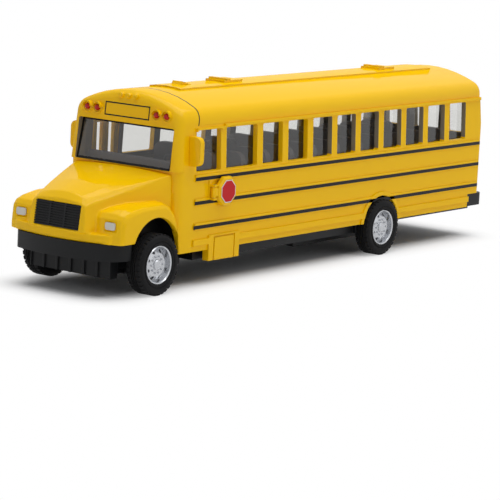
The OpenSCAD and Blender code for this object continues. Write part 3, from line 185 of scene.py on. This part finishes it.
# Injection-moulded ABS of the chassis and bumpers: satin black with a fine eroded grain, which is drawn
# coarser than the real one so that it shows
BLACK_ABS = surface(
    "moulded_black_abs",
    "0E0F11",
    rough=0.44,
    rough_var=0.07,
    grain=(0.35 * MM, 0.12, 0.03 * MM),
    edge=0.25 * MM,
    ior=1.54,
    shine=0.18,
)
# Injection-moulded polystyrene of the seats and dashboard: dull dark grey, coarser to the touch
GREY_STYRENE = surface(
    "moulded_grey_polystyrene",
    "5C5A60",
    rough=0.55,
    rough_var=0.06,
    grain=(0.4 * MM, 0.1, 0.03 * MM),
    edge=0.3 * MM,
    ior=1.59,
)
# Clear moulded polystyrene of the windows: bright, with slight flow waves
CLEAR_STYRENE = glazing(
    "clear_moulded_polystyrene",
    "F4F4F3",
    rough=0.03,
    ior=1.59,
    wave=0.1,
    wave_height=0.02 * MM,
)
# Red lacquer on the lamp domes: a glossy wet drop
RED_LACQUER = surface(
    "dipped_red_lacquer",
    "B3140F",
    rough=0.16,
    rough_var=0.04,
    grain=(0.8 * MM, 0.05, 0.02 * MM),
    edge=0.2 * MM,
    ior=1.5,
    coat=0.3,
    shine=0.15,
)
# Pale lacquer on the headlamps: milky, glossy on top
PALE_LACQUER = surface(
    "pale_lamp_lacquer",
    "CFCFC8",
    rough=0.22,
    rough_var=0.05,
    grain=(0.8 * MM, 0.06, 0.02 * MM),
    edge=0.25 * MM,
    ior=1.5,
    coat=0.5,
)
# Vacuum plating over moulded ABS hubs: a bright mirror that the moulding under it softens
PLATING = surface(
    "vacuum_plated_abs",
    "BCBEC2",
    rough=0.2,
    rough_var=0.06,
    grain=(0.5 * MM, 0.06, 0.02 * MM),
    edge=0.12 * MM,
    metal=0.8,
)
# Moulded rubber of the tyres: matt black with a dusty clouding
RUBBER = surface(
    "moulded_tyre_rubber",
    "121213",
    rough=0.74,
    rough_var=0.08,
    grain=(0.3 * MM, 0.2, 0.04 * MM),
    edge=0.15 * MM,
    ior=1.52,
    shine=0.15,
    shade="19191A",
)
# Drawn steel of the axles, screws and springs: bright, with an uneven dullness
STEEL = surface(
    "drawn_steel",
    "B4B6B9",
    rough=0.3,
    rough_var=0.08,
    grain=(0.3 * MM, 0.08, 0.01 * MM),
    edge=0.1 * MM,
    metal=1.0,
)
# Moulded acetal of the gears: waxy and a little creamy
ACETAL = surface(
    "moulded_natural_acetal",
    "E6E0CF",
    rough=0.4,
    rough_var=0.05,
    grain=(0.4 * MM, 0.06, 0.02 * MM),
    edge=0.08 * MM,
    ior=1.48,
)


def printed(name, colour):
    """Pad-printed ink: thin and smooth, a little duller than the enamel under it."""
    return surface(
        name,
        colour,
        rough=0.3,
        rough_var=0.05,
        grain=(0.5 * MM, 0.05, 0.01 * MM),
        edge=0.02 * MM,
        ior=1.5,
        shine=0.15,
    )


# Black ink for the printed lines, also laid as painted shadow on the roof seam and as painted shade round the
# windscreen
BLACK_INK_AND_PAINTED_SHADE = printed("black_ink_and_painted_shade", "131313")
RED_INK = printed("printed_red_ink", "C4161C")
WHITE_INK = printed("printed_white_ink", "F2F0EA")

FINISHES = {
    "body_paint": ENAMEL,
    "chassis_plastic": BLACK_ABS,
    "seat_plastic": GREY_STYRENE,
    "clear_plastic": CLEAR_STYRENE,
    "red_lamp": RED_LACQUER,
    "clear_lamp": PALE_LACQUER,
    "plated_hub": PLATING,
    "tyre_rubber": RUBBER,
    "steel": STEEL,
    "motor_plastic": BLACK_ABS,
    "gear_plastic": ACETAL,
}
SLOT_OF = {part["node"]: part["material_slot"] for part in frame["record"]["subparts"]}
BODY_OF = {name: body for body, names in frame["record"]["behaviour"]["bodies"].items() for name in names}
COACH = BODY_OF["coach_body"]

for name, obj in nodes.items():
    obj.data.materials.clear()
    obj.data.materials.append(FINISHES[SLOT_OF[name]])


def piece(name, mesh, body, material):
    """Links a mesh as a piece that rides on a body."""
    mesh.name = name
    obj = bpy.data.objects.new(name, mesh)
    scene.collection.objects.link(obj)
    mesh.materials.clear()
    mesh.materials.append(material)
    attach(obj, body)
    return obj


def mesh_of(bm, name):
    """Turns a bmesh into a mesh and frees it."""
    mesh = bpy.data.meshes.new(name)
    bm.to_mesh(mesh)
    bm.free()
    return mesh


def evaluated(obj):
    """The plain mesh of an object with its modifiers applied; the object goes."""
    made = bpy.data.meshes.new_from_object(obj.evaluated_get(bpy.context.evaluated_depsgraph_get()))
    bpy.data.objects.remove(obj)
    return made


# Castings: each CAD surface welded, with its facets smoothed
WELD = 0.002 * MM
FLAT = math.radians(0.4)
FACET = math.radians(32)
# The bonnet's paint lies thick: its edges and its joints with the fenders are rounded
PAINT_STEP = 0.24 * MM
PAINT_FLOW, PAINT_ROUNDS = 0.5, 9
PAINT_FLAT = math.radians(0.25)
# The cabin's inside, where the paint is thin and darkened as painted shade, and how squarely a face must turn
# to it
CABIN_HALF, CABIN_REAR, CABIN_FRONT, CABIN_FLOOR = 21.6 * MM, -103.6 * MM, 75 * MM, 16 * MM
INWARD = 0.6


def welded(node):
    """A copy of a CAD node's mesh with its loose triangles joined."""
    mesh = nodes[node].data.copy()
    if "custom_normal" in mesh.attributes:
        mesh.attributes.remove(mesh.attributes["custom_normal"])
    bm = bmesh.new()
    bm.from_mesh(mesh)
    bmesh.ops.remove_doubles(bm, verts=bm.verts, dist=WELD)
    bmesh.ops.dissolve_limit(bm, angle_limit=FLAT, verts=bm.verts, edges=bm.edges)
    bm.to_mesh(mesh)
    bm.free()
    return mesh


def wall_faces_in(face):
    """True for the coach's walls where they face the cabin."""
    x, y, z = face.center
    if abs(y) > CABIN_HALF or not CABIN_REAR < x < CABIN_FRONT or z < CABIN_FLOOR:
        return False
    return y * face.normal.y < -abs(y) * INWARD or x * face.normal.x < -abs(x) * INWARD


def roof_faces_in(face):
    """True for the underside of the roof."""
    return face.normal.z < -INWARD


def casting(node, faces_in=None, thick_paint=False):
    """Stands in for a CAD casting, smooth across its facets and thinly painted where it faces in, with
    painted shade there.
    """
    mesh = welded(node)
    if thick_paint:
        holder = bpy.data.objects.new(node, mesh)
        scene.collection.objects.link(holder)
        fill = holder.modifiers.new("fill", "REMESH")
        fill.mode = "VOXEL"
        fill.voxel_size = PAINT_STEP
        flow = holder.modifiers.new("flow", "SMOOTH")
        flow.factor = PAINT_FLOW
        flow.iterations = PAINT_ROUNDS
        thin = holder.modifiers.new("thin", "DECIMATE")
        thin.decimate_type = "DISSOLVE"
        thin.angle_limit = PAINT_FLAT
        mesh = evaluated(holder)
    for face in mesh.polygons:
        face.use_smooth = True
    if not thick_paint:
        mesh.set_sharp_from_angle(angle=FACET)
    obj = piece(node + "_casting", mesh, BODY_OF[node], FINISHES[SLOT_OF[node]])
    if faces_in:
        # Faces that turn in get the dark overspray, painted shade for the cabin's inside
        mesh.materials.append(OVERSPRAY_AND_PAINTED_SHADE)
        for face in mesh.polygons:
            face.material_index = int(faces_in(face))
    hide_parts(node)


casting("coach_body", wall_faces_in)
casting("roof_panel", roof_faces_in)
casting("hood", thick_paint=True)


# Repeated forms, grown by Geometry Nodes on the spots of a seed mesh
def tree_with(name, sizes):
    """A tree with a named input for each size; gives the tree and its inputs."""
    tree = bpy.data.node_groups.new(name, "GeometryNodeTree")
    tree.interface.new_socket("Geometry", in_out="INPUT", socket_type="NodeSocketGeometry")
    for label, kind in sizes.items():
        tree.interface.new_socket(label, in_out="INPUT", socket_type=kind)
    tree.interface.new_socket("Geometry", in_out="OUTPUT", socket_type="NodeSocketGeometry")
    return tree, add(tree, "NodeGroupInput").outputs


def close_tree(tree, placed, finish):
    """Ends a tree with real geometry in its finish."""
    real = add(tree, "GeometryNodeRealizeInstances", {"Geometry": placed})
    coated = add(tree, "GeometryNodeSetMaterial", {"Geometry": real.outputs[0], "Material": finish})
    add(tree, "NodeGroupOutput", {0: coated.outputs[0]})


def grown(tree, spots, sizes):
    """The plain mesh that a tree grows on the spots at the given sizes."""
    seed = bpy.data.meshes.new(tree.name)
    seed.from_pydata([tuple(spot) for spot in spots], [], [])
    holder = bpy.data.objects.new(tree.name, seed)
    scene.collection.objects.link(holder)
    growth = holder.modifiers.new(tree.name, "NODES")
    growth.node_group = tree
    for socket in tree.interface.items_tree:
        if socket.in_out == "INPUT" and socket.name in sizes:
            growth[socket.identifier] = sizes[socket.name]
    return evaluated(holder)


def joined(name, meshes):
    """One mesh of several."""
    bm = bmesh.new()
    for mesh in meshes:
        bm.from_mesh(mesh)
    return mesh_of(bm, name)


def bar_tree():
    """Straight bars, each centred on its spot."""
    tree, size = tree_with("bars", {"Bar size": "NodeSocketVector", "Finish": "NodeSocketMaterial"})
    bar = add(tree, "GeometryNodeMeshCube", {"Size": size["Bar size"]}).outputs[0]
    placed = add(tree, "GeometryNodeInstanceOnPoints", {"Points": size["Geometry"], "Instance": bar})
    close_tree(tree, placed.outputs[0], size["Finish"])
    return tree


DOME_SEGMENTS, DOME_RINGS = 32, 16


def dome_tree():
    """Round domes that face one way."""
    tree, size = tree_with(
        "domes",
        {
            "Radius": "NodeSocketFloat",
            "Height": "NodeSocketFloat",
            "Facing": "NodeSocketVector",
            "Finish": "NodeSocketMaterial",
        },
    )
    round_form = {"Segments": DOME_SEGMENTS, "Rings": DOME_RINGS, "Radius": 1.0}
    ball = add(tree, "GeometryNodeMeshUVSphere", round_form)
    spread = add(
        tree,
        "ShaderNodeCombineXYZ",
        {"X": size["Radius"], "Y": size["Radius"], "Z": size["Height"]},
    )
    dome = add(tree, "GeometryNodeTransform", {"Geometry": ball.outputs[0], "Scale": spread.outputs[0]})
    turn = add(tree, "FunctionNodeAlignRotationToVector", {"Vector": size["Facing"]}, axis="Z")
    placed = add(
        tree,
        "GeometryNodeInstanceOnPoints",
        {"Points": size["Geometry"], "Instance": dome.outputs[0], "Rotation": turn.outputs[0]},
    )
    smooth = add(tree, "GeometryNodeSetShadeSmooth", {"Geometry": placed.outputs[0]})
    close_tree(tree, smooth.outputs[0], size["Finish"])
    return tree


def block_tree():
    """Tread blocks round a ring, square to it."""
    tree, size = tree_with(
        "tread_blocks",
        {
            "Blocks": "NodeSocketInt",
            "Ring radius": "NodeSocketFloat",
            "Block size": "NodeSocketVector",
            "Finish": "NodeSocketMaterial",
        },
    )
    ring = add(tree, "GeometryNodeMeshCircle", {"Vertices": size["Blocks"], "Radius": size["Ring radius"]})
    block = add(tree, "GeometryNodeMeshCube", {"Size": size["Block size"]})
    spot = add(tree, "GeometryNodeInputPosition")
    turn = add(
        tree, "FunctionNodeAlignRotationToVector", {"Vector": spot.outputs[0]}, axis="Y", pivot_axis="Z"
    )
    placed = add(
        tree,
        "GeometryNodeInstanceOnPoints",
        {"Points": ring.outputs[0], "Instance": block.outputs[0], "Rotation": turn.outputs[0]},
    )
    close_tree(tree, placed.outputs[0], size["Finish"])
    return tree


BARS, DOMES, BLOCKS = bar_tree(), dome_tree(), block_tree()

# Printed lines on the rub rails, a hair proud of them
LAYER_T = 0.05 * MM
RAIL_FACE = 23.2 * MM
RAIL_ZS = (35.25 * MM, 27.55 * MM, 19.7 * MM)
RAIL_LINE_H = 1.15 * MM
RAIL_LINE_REAR = -102.2 * MM
RAIL_LINE_FRONTS = {1: 67.4 * MM, -1: 51.95 * MM}
sides = []
for side, front in RAIL_LINE_FRONTS.items():
    spots = [((RAIL_LINE_REAR + front) / 2, side * RAIL_FACE, z) for z in RAIL_ZS]
    bar = (front - RAIL_LINE_REAR, 2 * LAYER_T, RAIL_LINE_H)
    sides.append(grown(BARS, spots, {"Bar size": bar, "Finish": BLACK_INK_AND_PAINTED_SHADE}))
piece("rail_stripes", joined("rail_stripes", sides), COACH, BLACK_INK_AND_PAINTED_SHADE)


def hull_mesh(name, groups):
    """One mesh of convex pieces, each given by its corners."""
    bm = bmesh.new()
    for corners in groups:
        bmesh.ops.convex_hull(bm, input=[bm.verts.new(corner) for corner in corners])
    bmesh.ops.recalc_face_normals(bm, faces=bm.faces)
    return mesh_of(bm, name)


# Stop plate: a chamfer from the plate to its raised face, then a white octagon with a red one on it
STOP_X, STOP_Z = 52.65 * MM, 30.55 * MM
STOP_BACK, STOP_FACE = 24.6 * MM, 25.2 * MM
STOP_FLATS, FACE_FLATS, WHITE_FLATS, RED_FLATS = 9.4 * MM, 7.52 * MM, 7.3 * MM, 6.75 * MM
OCTAGON = 8


def octagon(flats, y):
    """Corners of an upright octagon in the plate's plane, with a flat on top."""
    step = 2 * math.pi / OCTAGON
    r = flats / 2 / math.cos(step / 2)
    angles = [step * i + step / 2 for i in range(OCTAGON)]
    return [Vector((STOP_X + r * math.cos(a), y, STOP_Z + r * math.sin(a))) for a in angles]


def stop_layer(name, low, high, material):
    """One layer of the stop plate between two octagons, each given by its flats and Y."""
    piece(name, hull_mesh(name, [octagon(*low) + octagon(*high)]), "stop_arm", material)


stop_layer("stop_plate_chamfer", (STOP_FLATS, STOP_BACK - LAYER_T), (FACE_FLATS, STOP_FACE), ENAMEL)
stop_layer("stop_plate_white", (WHITE_FLATS, STOP_FACE), (WHITE_FLATS, STOP_FACE + LAYER_T), WHITE_INK)
stop_layer("stop_plate_red", (RED_FLATS, STOP_FACE), (RED_FLATS, STOP_FACE + 2 * LAYER_T), RED_INK)


def outline(foot, up, out, half, low, high, line):
    """Four bars round a rectangle on a leaning face, between two distances up from its foot."""
    bars = []
    for y0, y1, s0, s1 in (
        (-half, half, low, low + line),
        (-half, half, high - line, high),
        (-half, line - half, low, high),
        (half - line, half, low, high),
    ):
        flat = [foot + up * s + Vector((0, y, 0)) for y in (y0, y1) for s in (s0, s1)]
        bars.append([corner + out * d for corner in flat for d in (-LAYER_T, LAYER_T)])
    return bars


# Header: a bare box outlined in black on the leaning front face
LEAN = math.radians(5.5)
FACE_FOOT = Vector((76.5 * MM, 0, 37.9 * MM))
FACE_UP = Vector((-math.sin(LEAN), 0, math.cos(LEAN)))
FACE_OUT = Vector((math.cos(LEAN), 0, math.sin(LEAN)))
SIGN_HALF, SIGN_LOW, SIGN_HIGH, SIGN_LINE = 9.2 * MM, 15.17 * MM, 19.59 * MM, 0.4 * MM
sign = outline(FACE_FOOT, FACE_UP, FACE_OUT, SIGN_HALF, SIGN_LOW, SIGN_HIGH, SIGN_LINE)
piece("header_sign_outline", hull_mesh("header_sign_outline", sign), COACH, BLACK_INK_AND_PAINTED_SHADE)

# Windscreen: a black line round the glass, painted shade where the glass's edge looks dark
GLASS_FOOT, GLASS_HEAD = Vector((75.89 * MM, 0, 38.05 * MM)), Vector((73.2 * MM, 0, 51.34 * MM))
GLASS_HALF, GLASS_EDGE = 19.5 * MM, 0.75 * MM
glass_up = (GLASS_HEAD - GLASS_FOOT).normalized()
glass_out = Vector((glass_up.z, 0, -glass_up.x))
glass_h = (GLASS_HEAD - GLASS_FOOT).length
rim = outline(GLASS_FOOT, glass_up, glass_out, GLASS_HALF, 0, glass_h, GLASS_EDGE)
piece("windscreen_edge", hull_mesh("windscreen_edge", rim), COACH, BLACK_INK_AND_PAINTED_SHADE)

# Roof seam: a black line along the roof's front edge, painted shadow for the gap of the seam
SEAM_FOOT = Vector((65.95 * MM, 0, 52.15 * MM))
SEAM_TILT = math.radians(11)
SEAM_OUT = Vector((math.cos(SEAM_TILT), 0, math.sin(SEAM_TILT)))
SEAM_W, SEAM_LIFT = 0.32 * MM, 0.02 * MM


def seam_shadow_mesh():
    """The front edge of the roof panel, cut off, closed and lifted a hair."""
    bm = bmesh.new()
    bm.from_mesh(nodes["roof_panel"].data)
    bmesh.ops.remove_doubles(bm, verts=bm.verts, dist=WELD)
    bmesh.ops.bisect_plane(
        bm,
        geom=bm.verts[:] + bm.edges[:] + bm.faces[:],
        plane_co=SEAM_FOOT - SEAM_OUT * SEAM_W,
        plane_no=SEAM_OUT,
        clear_inner=True,
    )
    bmesh.ops.holes_fill(bm, edges=[edge for edge in bm.edges if edge.is_boundary], sides=0)
    bm.normal_update()
    for vert in bm.verts:
        vert.co += vert.normal * SEAM_LIFT
    return mesh_of(bm, "roof_seam_shadow")


piece("roof_seam_shadow", seam_shadow_mesh(), COACH, BLACK_INK_AND_PAINTED_SHADE)

# Tyres: turned rubber with side rings, tread grooves and shoulder blocks; radius and depth in mm
TYRE_PROFILE = [
    (6.25, 1.6), (6.25, 0.45), (6.45, 0.12), (6.85, 0.0), (7.1, 0.06), (7.2, 0.26), (7.4, 0.26), (7.5, 0.1),
    (8.1, 0.0), (8.85, 0.12), (9.25, 0.4), (9.5, 0.85), (9.68, 1.4), (9.82, 2.0), (9.84, 2.05), (9.4, 2.1),
    (9.4, 2.45), (9.84, 2.5), (9.84, 2.75), (9.4, 2.8),
]
TYRE_W = 6.0
TYRE_STEPS = 96
TYRE_CREASE = math.radians(40)
BLOCK_COUNT = 34
BLOCK_SIZE = (1.25 * MM, 0.5 * MM, 1.5 * MM)
BLOCK_RING = 9.58 * MM
BLOCK_DEPTH = 1.3
HUB_FACE = 24.5 * MM
TYRE_PROUD = 0.1 * MM
AXLES = {"front": 85.5 * MM, "rear": -39.4 * MM}
AXLE_Z = 9.85 * MM
block_ring = grown(
    BLOCKS,
    [],
    {"Blocks": BLOCK_COUNT, "Ring radius": BLOCK_RING, "Block size": BLOCK_SIZE, "Finish": RUBBER},
)


def turned(bm, profile, steps):
    """Turns a closed outline of radius and depth in mm about Z."""
    rings = []
    for i in range(steps):
        a = 2 * math.pi * i / steps
        out = Vector((math.cos(a), math.sin(a), 0)) * MM
        rings.append([bm.verts.new(out * r + Vector((0, 0, d * MM))) for r, d in profile])
    for i in range(steps):
        near, far = rings[i], rings[(i + 1) % steps]
        for k in range(len(profile)):
            j = (k + 1) % len(profile)
            bm.faces.new((near[k], far[k], far[j], near[j]))


def tyre_mesh(name, x, side):
    """One tyre on its axle, with its outer face to the given side."""
    bm = bmesh.new()
    turned(bm, TYRE_PROFILE + [(r, TYRE_W - d) for r, d in reversed(TYRE_PROFILE)], TYRE_STEPS)
    for depth, offset in ((BLOCK_DEPTH, 0), (TYRE_W - BLOCK_DEPTH, math.pi / BLOCK_COUNT)):
        before = len(bm.verts)
        bm.from_mesh(block_ring)
        bm.verts.ensure_lookup_table()
        place = Matrix.Translation((0, 0, depth * MM)) @ Matrix.Rotation(offset, 4, "Z")
        bmesh.ops.transform(bm, verts=bm.verts[before:], matrix=place)
    spot = Matrix.Translation((x, side * (HUB_FACE + TYRE_PROUD), AXLE_Z))
    bmesh.ops.transform(bm, verts=bm.verts, matrix=spot @ Matrix.Rotation(side * math.pi / 2, 4, "X"))
    bmesh.ops.recalc_face_normals(bm, faces=bm.faces)
    for face in bm.faces:
        face.smooth = True
    mesh = mesh_of(bm, name)
    mesh.set_sharp_from_angle(angle=TYRE_CREASE)
    return mesh


for axle, x in AXLES.items():
    for hand, side in (("left", 1), ("right", -1)):
        name = f"{axle}_{hand}_tyre_rubber"
        tyre = piece(name, tyre_mesh(name, x, side), f"{axle}_wheels", RUBBER)
        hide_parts(f"{axle}_{hand}_tyre")

# Lamps: red domes on the header, the roof's rear end and the rear wall
LAMP_R, LAMP_H, LAMP_FLOOR = 1.05 * MM, 0.95 * MM, 0.1 * MM
LAMP_Z, LAMP_YS = 55.0 * MM, (-16.3 * MM, -12.2 * MM, 12.2 * MM, 16.3 * MM)
TAIL_R, TAIL_H, TAIL_X, TAIL_Z, TAIL_YS = 1.6 * MM, 0.9 * MM, -105 * MM, 24.7 * MM, (-18.2 * MM, 18.2 * MM)
REAR_X, REAR_Z, REAR_YS = -104 * MM, 54.55 * MM, (-13 * MM, -9 * MM, 9 * MM, 13 * MM)
REARWARD = (-1, 0, 0)


def on_front(y, z):
    """The point of the leaning front face at a height."""
    return FACE_FOOT + FACE_UP * ((z - FACE_FOOT.z) / math.cos(LEAN)) + Vector((0, y, 0))


def domes(spots, r, h, facing, finish):
    """One mesh of equal domes that stand on the spots."""
    return grown(DOMES, spots, {"Radius": r, "Height": h, "Facing": tuple(facing), "Finish": finish})


lamp_spots = [on_front(y, LAMP_Z) + FACE_OUT * LAMP_FLOOR for y in LAMP_YS]
header = domes(lamp_spots, LAMP_R, LAMP_H, FACE_OUT, RED_LACQUER)
lenses = piece("header_lamp_lenses", header, BODY_OF["header_lamps"], RED_LACQUER)
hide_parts("header_lamps")
tail = joined(
    "tail_lamp_lenses",
    [
        domes([(TAIL_X, y, TAIL_Z) for y in TAIL_YS], TAIL_R, TAIL_H, REARWARD, RED_LACQUER),
        domes([(REAR_X, y, REAR_Z) for y in REAR_YS], LAMP_R, TAIL_H, REARWARD, RED_LACQUER),
    ],
)
lenses = piece("tail_lamp_lenses", tail, BODY_OF["tail_lamps"], RED_LACQUER)
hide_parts("tail_lamps")

# Three painted marker domes over the header
MARKER_YS, MARKER_Z, MARKER_R, MARKER_H = (-3.1 * MM, 0.0, 3.1 * MM), 59.9 * MM, 0.95 * MM, 0.85 * MM
markers = domes([on_front(y, MARKER_Z) for y in MARKER_YS], MARKER_R, MARKER_H, FACE_OUT, ENAMEL)
piece("header_marker_domes", markers, COACH, ENAMEL)

# Camera, matched to the upper view of the photograph
AZ, EL, ROLL = math.radians(126.4743), math.radians(9.4627), math.radians(-2.9224)
TARGET = Vector((5.374 * MM, 0, 2.968 * MM))
DISTANCE = 885.56 * MM
LENS, SENSOR, CLIP_END = 185.84, 36, 20
back = Vector((math.sin(AZ) * math.cos(EL), -math.cos(AZ) * math.cos(EL), math.sin(EL)))
right = Vector((math.cos(AZ), math.sin(AZ), 0))
up = back.cross(right)
cam_x = math.cos(ROLL) * right - math.sin(ROLL) * up
cam_y = math.sin(ROLL) * right + math.cos(ROLL) * up
camera = bpy.data.cameras.new("photo_camera")
camera.sensor_width = SENSOR
camera.lens = LENS
camera.clip_end = CLIP_END
camera_obj = bpy.data.objects.new("photo_camera", camera)
turn = Matrix((cam_x, cam_y, back)).transposed().to_4x4()
camera_obj.matrix_world = Matrix.Translation(TARGET + back * DISTANCE) @ turn
scene.collection.objects.link(camera_obj)
scene.camera = camera_obj

# Studio: a pale floor that fades to the white backdrop round the bus, and soft lights
FLOOR_HALF = 6.0
FLOOR_TONE = "F6F6F6"
SHADE_HALF = (0.1, 0.012, 1.0)
SHADE_FADE = 0.022


def shown_white(tree):
    """1 for rays that show the white backdrop: those of the camera, of mirrors and of glass."""
    path = add(tree, "ShaderNodeLightPath").outputs
    shown = path["Is Camera Ray"]
    for ray in ("Is Glossy Ray", "Is Transmission Ray"):
        shown = add(tree, "ShaderNodeMath", {0: shown, 1: path[ray]}, operation="MAXIMUM").outputs[0]
    return shown


def floor():
    """Matt floor that keeps the bus's shade and turns white further out."""
    bm = bmesh.new()
    bmesh.ops.create_grid(bm, x_segments=1, y_segments=1, size=FLOOR_HALF)
    mesh = mesh_of(bm, "floor")
    obj = bpy.data.objects.new("floor", mesh)
    scene.collection.objects.link(obj)
    material, tree = blank_material("pale_floor")
    place = add(tree, "ShaderNodeTexCoord").outputs["Object"]
    quarter = add(tree, "ShaderNodeVectorMath", {0: place}, operation="ABSOLUTE").outputs[0]
    past = add(tree, "ShaderNodeVectorMath", {0: quarter, 1: SHADE_HALF}, operation="SUBTRACT").outputs[0]
    outside = add(tree, "ShaderNodeVectorMath", {0: past, 1: (0, 0, 0)}, operation="MAXIMUM").outputs[0]
    far = add(tree, "ShaderNodeVectorMath", {0: outside}, operation="LENGTH").outputs["Value"]
    fade = add(
        tree,
        "ShaderNodeMapRange",
        {"Value": far, "From Min": 0.0, "From Max": SHADE_FADE},
        interpolation_type="SMOOTHSTEP",
    ).outputs[0]
    factor = add(tree, "ShaderNodeMath", {0: fade, 1: shown_white(tree)}, operation="MULTIPLY").outputs[0]
    matt = add(tree, "ShaderNodeBsdfDiffuse", {"Color": rgb(FLOOR_TONE)}).outputs[0]
    white = add(tree, "ShaderNodeEmission", {"Color": rgb(WHITE), "Strength": 1.0}).outputs[0]
    shown = add(tree, "ShaderNodeMixShader", {0: factor, 1: matt, 2: white}).outputs[0]
    add(tree, "ShaderNodeOutputMaterial", {"Surface": shown})
    mesh.materials.append(material)


BUS_MID = Vector((0.0, 0.0, 0.03))


def area(name, place, size, watts, mirrored=True):
    """A soft light aimed at the bus; it may be left out of its mirrors."""
    light = bpy.data.lights.new(name, "AREA")
    light.shape = "RECTANGLE"
    light.size, light.size_y = size
    light.energy = watts
    obj = bpy.data.objects.new(name, light)
    obj.location = place
    obj.rotation_euler = (BUS_MID - Vector(place)).to_track_quat("-Z", "Y").to_euler()
    obj.visible_glossy = mirrored
    scene.collection.objects.link(obj)


floor()
area("top_soft", place=(-0.05, 0.05, 0.75), size=(0.9, 0.8), watts=5.4)
area("front_soft", place=(0.75, 0.25, 0.35), size=(0.5, 0.5), watts=0.1)
area("side_soft", place=(0.1, 0.8, 0.45), size=(0.8, 0.4), watts=0.28)
area("rear_soft", place=(-0.7, -0.4, 0.5), size=(0.5, 0.4), watts=0.75, mirrored=False)
area("key", place=(0.1, 0.5, 0.75), size=(0.3, 0.12), watts=0.4)

# World: soft all round, white behind the bus and in its mirrors
WORLD_TONE, WORLD_SOFT = "F3F4F6", 0.3
world = bpy.data.worlds.new("studio")
scene.world = world
world.use_nodes = True
sky = world.node_tree
sky.nodes.clear()
soft = add(sky, "ShaderNodeBackground", {"Color": rgb(WORLD_TONE), "Strength": WORLD_SOFT}).outputs[0]
white = add(sky, "ShaderNodeBackground", {"Color": rgb(WHITE), "Strength": 1.0}).outputs[0]
seen = add(sky, "ShaderNodeMixShader", {0: shown_white(sky), 1: soft, 2: white}).outputs[0]
add(sky, "ShaderNodeOutputWorld", {"Surface": seen})

scene.view_settings.view_transform = "Standard"
